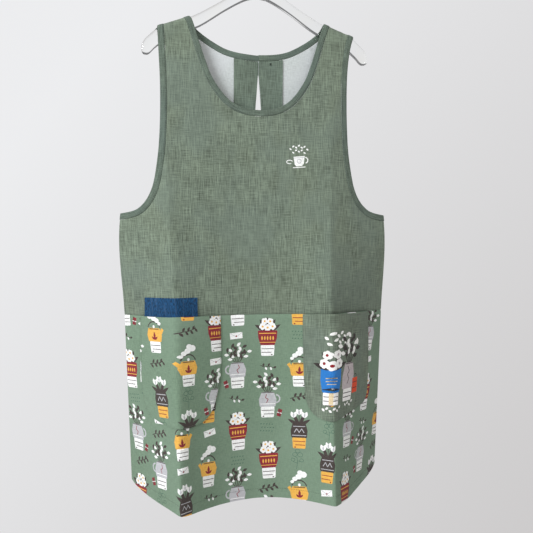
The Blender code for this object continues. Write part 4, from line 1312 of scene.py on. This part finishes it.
def stitches(name, runs, material, pitch=STITCH_PITCH):
    """Short stitches along runs of points, each run with the direction out of the cloth."""
    points, faces = [], []
    for places, ways in runs:
        steps = np.linalg.norm(np.diff(places, axis=0), axis=1)
        run = np.concatenate([[0], np.cumsum(steps)])
        for s in np.arange(pitch / 2, run[-1] - pitch / 2, pitch):
            first, last = (np.array([np.interp(s + d, run, places[:, c]) for c in range(3)])
                           for d in (-STITCH_LENGTH / 2, STITCH_LENGTH / 2))
            out = np.array([np.interp(s, run, ways[:, c]) for c in range(3)])
            along = last - first
            along /= np.linalg.norm(along)
            out -= along * out.dot(along)
            out /= np.linalg.norm(out)
            across = np.cross(along, out)
            start = len(points)
            for share, size, lift in STITCH_RINGS:
                centre = lerp(first, last, share) + out * STITCH_WIDTH * lift
                for t in (math.pi * k / 3 for k in range(6)):
                    points.append(centre + (across * math.cos(t) + out * math.sin(t))
                                  * STITCH_WIDTH * size)
            for ring in range(3):
                for k in range(6):
                    a, b = start + ring * 6 + k, start + ring * 6 + (k + 1) % 6
                    faces.append((a, b, b + 6, a + 6))
            faces += [tuple(range(start, start + 6))[::-1], tuple(range(start + 18, start + 24))]
    piece = new_piece(name, points, faces, [material], sharp=180)
    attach(piece, "root")
    return piece


def run_on(side, line, out):
    """A stitch line laid on the cloth."""
    fine = []
    for a, b in zip(line, line[1:]):
        count = max(math.ceil(math.dist(a, b) / 0.002), 1)
        fine += [(lerp(a[0], b[0], k / count), lerp(a[1], b[1], k / count)) for k in range(count)]
    fine.append(line[-1])
    x, z = np.array(fine).T
    return surface(side, x, z, out(x, z) if callable(out) else out), outward(side, x, z)


def raised(line, up):
    return [(x, z + up) for x, z in line]


def inset_line(line, by):
    """A line moved sideways, to its left as it runs."""
    inset = []
    for k, (x, z) in enumerate(line):
        a, b = line[max(k - 1, 0)], line[min(k + 1, len(line) - 1)]
        run = Vector((b[0] - a[0], b[1] - a[1])).normalized()
        inset.append((x - run.y * by, z + run.x * by))
    return inset


def build_stitching():
    made = [stitches("stitches_hem_front",
                     [run_on(FRONT, raised(hem(FRONT_HEM), HEM_FOLD), FABRIC)], seam_thread),
            stitches("stitches_hem_back", [
                run_on(BACK, raised(between(hem(BACK_HEM), *ends), HEM_FOLD), FABRIC)
                for ends in ((-0.22, SLIT_X - 0.004), (SLIT_X + 0.004, 0.22))], green_thread)]
    for name, sign in (("stitches_pocket_left", -1), ("stitches_pocket_right", 1)):
        ends = sorted((sign * (POCKET_INSET + 0.001), sign * (POCKET_INSET + POCKET_WIDTH - 0.001)))
        lines = (inset_line(pocket_edge(sign), EDGE_STITCH * sign),
                 [(x, WAIST_Z - POCKET_HEM) for x in ends])
        made.append(stitches(name, [run_on(FRONT, line, lambda x, z: gape(x, z) + FABRIC)
                                    for line in lines], green_thread))
    runs = []
    across = BINDING_WIDTH - TAPE_STITCH
    for flip in (1, -1):
        for side, (_, line) in ((FRONT, neck_lines(FRONT, across)),
                                (FRONT, armhole_lines(FRONT, flip, across)),
                                (BACK, armhole_lines(BACK, flip, across))):
            line = [(flip * x, z) for x, z in line
                    if below_shoulder((x, z)) > 0.002 and z > UNDERARM_Z + 0.004]
            runs.append(run_on(side, line, (CLOTH + BINDING_THICKNESS) / 2 - 0.0002))
    made.append(stitches("stitches_bindings", runs, seam_thread))
    made.append(stitches("stitches_tab", [
        run_on(FRONT, [(x, WAIST_Z - 0.004), (x, TAB_TOP - 0.002)], CLOTH + LAYER_GAP + TAB_CLOTH)
        for x in (TAB_LEFT + 0.003, TAB_RIGHT - 0.003)], blue_thread))
    runs = []
    foot = NECK_Z - SLIT_TOP - SLIT_LENGTH
    for edge, sign in ((0, -1), (1, 1)):
        line = [(x + sign * 0.003, z) for x, z in centre_line(NECK_Z - SLIT_TOP - 0.002, foot, edge)]
        runs.append(run_on(BACK, line, FABRIC))
        x = SLIT_X + sign * (FACING_WIDTH + 0.0015)
        runs.append(run_on(BACK, [(x, z) for z in heights(NECK_Z - 0.075, foot - 0.02)], FABRIC))
    return made + [stitches("stitches_slit", runs, green_thread)]


def build_hem_folds():
    """The hems' turned-up cloth on the inside."""
    made = []
    for name, side, table, low, high in (
            ("hem_fold_front", FRONT, FRONT_HEM, -1, 1),
            ("hem_fold_back_left", BACK, BACK_HEM, -0.25, SLIT_X - 0.001),
            ("hem_fold_back_right", BACK, BACK_HEM, SLIT_X + 0.001, 0.25)):
        line = between([(x * 0.985, z) for x, z in hem(table)], low, high)
        outline = raised(line, FOLDED_CLOTH) + raised(line, HEM_FOLD - FOLDED_CLOTH)[::-1]
        piece = cloth(name, side, outline, -FABRIC - 0.0004, [skirt_cloth] * 2, thickness=FOLDED_CLOTH)
        made.append(piece)
    return made


def build_button():
    """A rimmed button with its thread, and the thread's knot on the inside."""
    at = np.array(SLIT_X + BUTTON_INSET), np.array(NECK_Z - SLIT_TOP + BUTTON_RISE)
    way = Vector(outward(BACK, *at))
    under = Vector(surface(BACK, *at, 0.0))
    spot = under + way * (LAP_OUT + CLOTH + LAYER_GAP)
    rings = ((0.02, 0.35), (0.55, 0.35), (0.70, 0.55), (0.82, 1.0), (0.93, 0.98), (1.0, 0.6),
             (0.97, 0.15), (0.8, 0.0), (0.02, 0.0))
    n = 40
    turns = [2 * math.pi * k / n for k in range(n)]
    points = [(BUTTON_RADIUS * radius * math.cos(t), BUTTON_RADIUS * radius * math.sin(t),
               BUTTON_THICKNESS * height) for radius, height in rings for t in turns]
    faces = [(a + k, a + n + k, a + n + (k + 1) % n, a + (k + 1) % n)
             for a in range(0, len(points) - n, n) for k in range(n)]
    faces += [tuple(range(n)), tuple(range(len(points) - n, len(points)))[::-1]]
    button = new_piece("button", points, faces, [button_plastic()], sharp=50)
    button.location = spot
    turn_along(button, way, "Z")
    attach(button, "root")
    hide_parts("back_button")

    def run(centre, half, out):
        return np.array([centre - half, centre, centre + half]), np.array([out] * 3)

    face = spot + way * BUTTON_THICKNESS * 0.42
    stitches("button_thread", [run(face + Vector((0, 0, shift)), Vector((0.0016, 0, 0)), way)
                               for shift in (-0.0011, 0.0011)], dark_thread, 0.0022)
    runs = []
    for k in range(14):
        turn = 2.4 * k
        centre = under - way * 0.0026 + Vector((math.sin(turn * 1.7), 0, math.cos(turn * 2.3))) * 0.0011
        runs.append(run(centre, Vector((math.cos(turn), 0, math.sin(turn))) * 0.0018, -way))
    stitches("button_knot", runs, dark_thread, 0.0022)


def build_hanger():
    """The clear hanger with fully rounded edges, as one mesh."""
    seat = BINDING_THICKNESS / 2 + LAYER_GAP
    upper = [(w * NECK_HALF, CROWN_Z - d * CROWN_RISE) for w, d in HANGER_CROWN]
    upper += [(x, float(shoulder_z(x)) - seat)
              for x in (lerp(NECK_HALF, SHOULDER_HALF, t) for t in (0, 0.5, 1))]
    tip = [(SHOULDER_HALF + w * TIP_REACH, SHOULDER_Z - seat - d * TIP_DROP) for w, d in HANGER_TIP]
    lower = [(w * NECK_HALF, CROWN_Z - d * CROWN_RISE - BAR_HEIGHT * h) for w, d, h in HANGER_FOOT]
    half = smooth_line(upper, 8)[:-1] + smooth_line([upper[-1]] + tip, 8)[:-1] + smooth_line(
        [tip[-1]] + lower, 8)
    outline = half + [(-x, z) for x, z in half[::-1][1:-1]]
    curve = bpy.data.curves.new("hanger_curve", "CURVE")
    curve.dimensions, curve.fill_mode = "2D", "BOTH"
    spline = curve.splines.new("POLY")
    spline.points.add(len(outline) - 1)
    spline.use_cyclic_u = True
    for point, (x, z) in zip(spline.points, outline):
        point.co = (x, z, 0, 1)
    curve.extrude = HANGER_THICKNESS / 2 - HANGER_EDGE
    curve.bevel_depth, curve.offset, curve.bevel_resolution = HANGER_EDGE, -HANGER_EDGE, 6
    flat = new_object("hanger_curve", curve)
    flat.rotation_euler.x = math.pi / 2
    bpy.context.view_layer.update()
    mesh = bpy.data.meshes.new_from_object(flat.evaluated_get(bpy.context.evaluated_depsgraph_get()))
    mesh.transform(flat.matrix_world)
    bpy.data.objects.remove(flat)
    bm = bmesh.new()
    bm.from_mesh(mesh)
    bmesh.ops.remove_doubles(bm, verts=bm.verts[:], dist=1e-5)
    bmesh.ops.recalc_face_normals(bm, faces=bm.faces[:])
    bm.to_mesh(mesh)
    bm.free()
    smooth(mesh, 30)
    mesh.materials.clear()
    mesh.materials.append(clear_plastic())
    hanger = new_object("clear_hanger", mesh)
    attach(hanger, "root")
    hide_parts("hanger")


bodice, skirt = build_front()
back_left, back_right, facings = build_back()
pocket_left, pocket_right, tab = build_pockets()
bindings = build_bindings()
seams = build_stitching()
folds = build_hem_folds()
build_button()
build_hanger()
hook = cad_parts["hanger_hook"]
for slot in hook.material_slots:
    slot.material = polished_steel()
hook.data.polygons.foreach_set("use_smooth", [True] * len(hook.data.polygons))
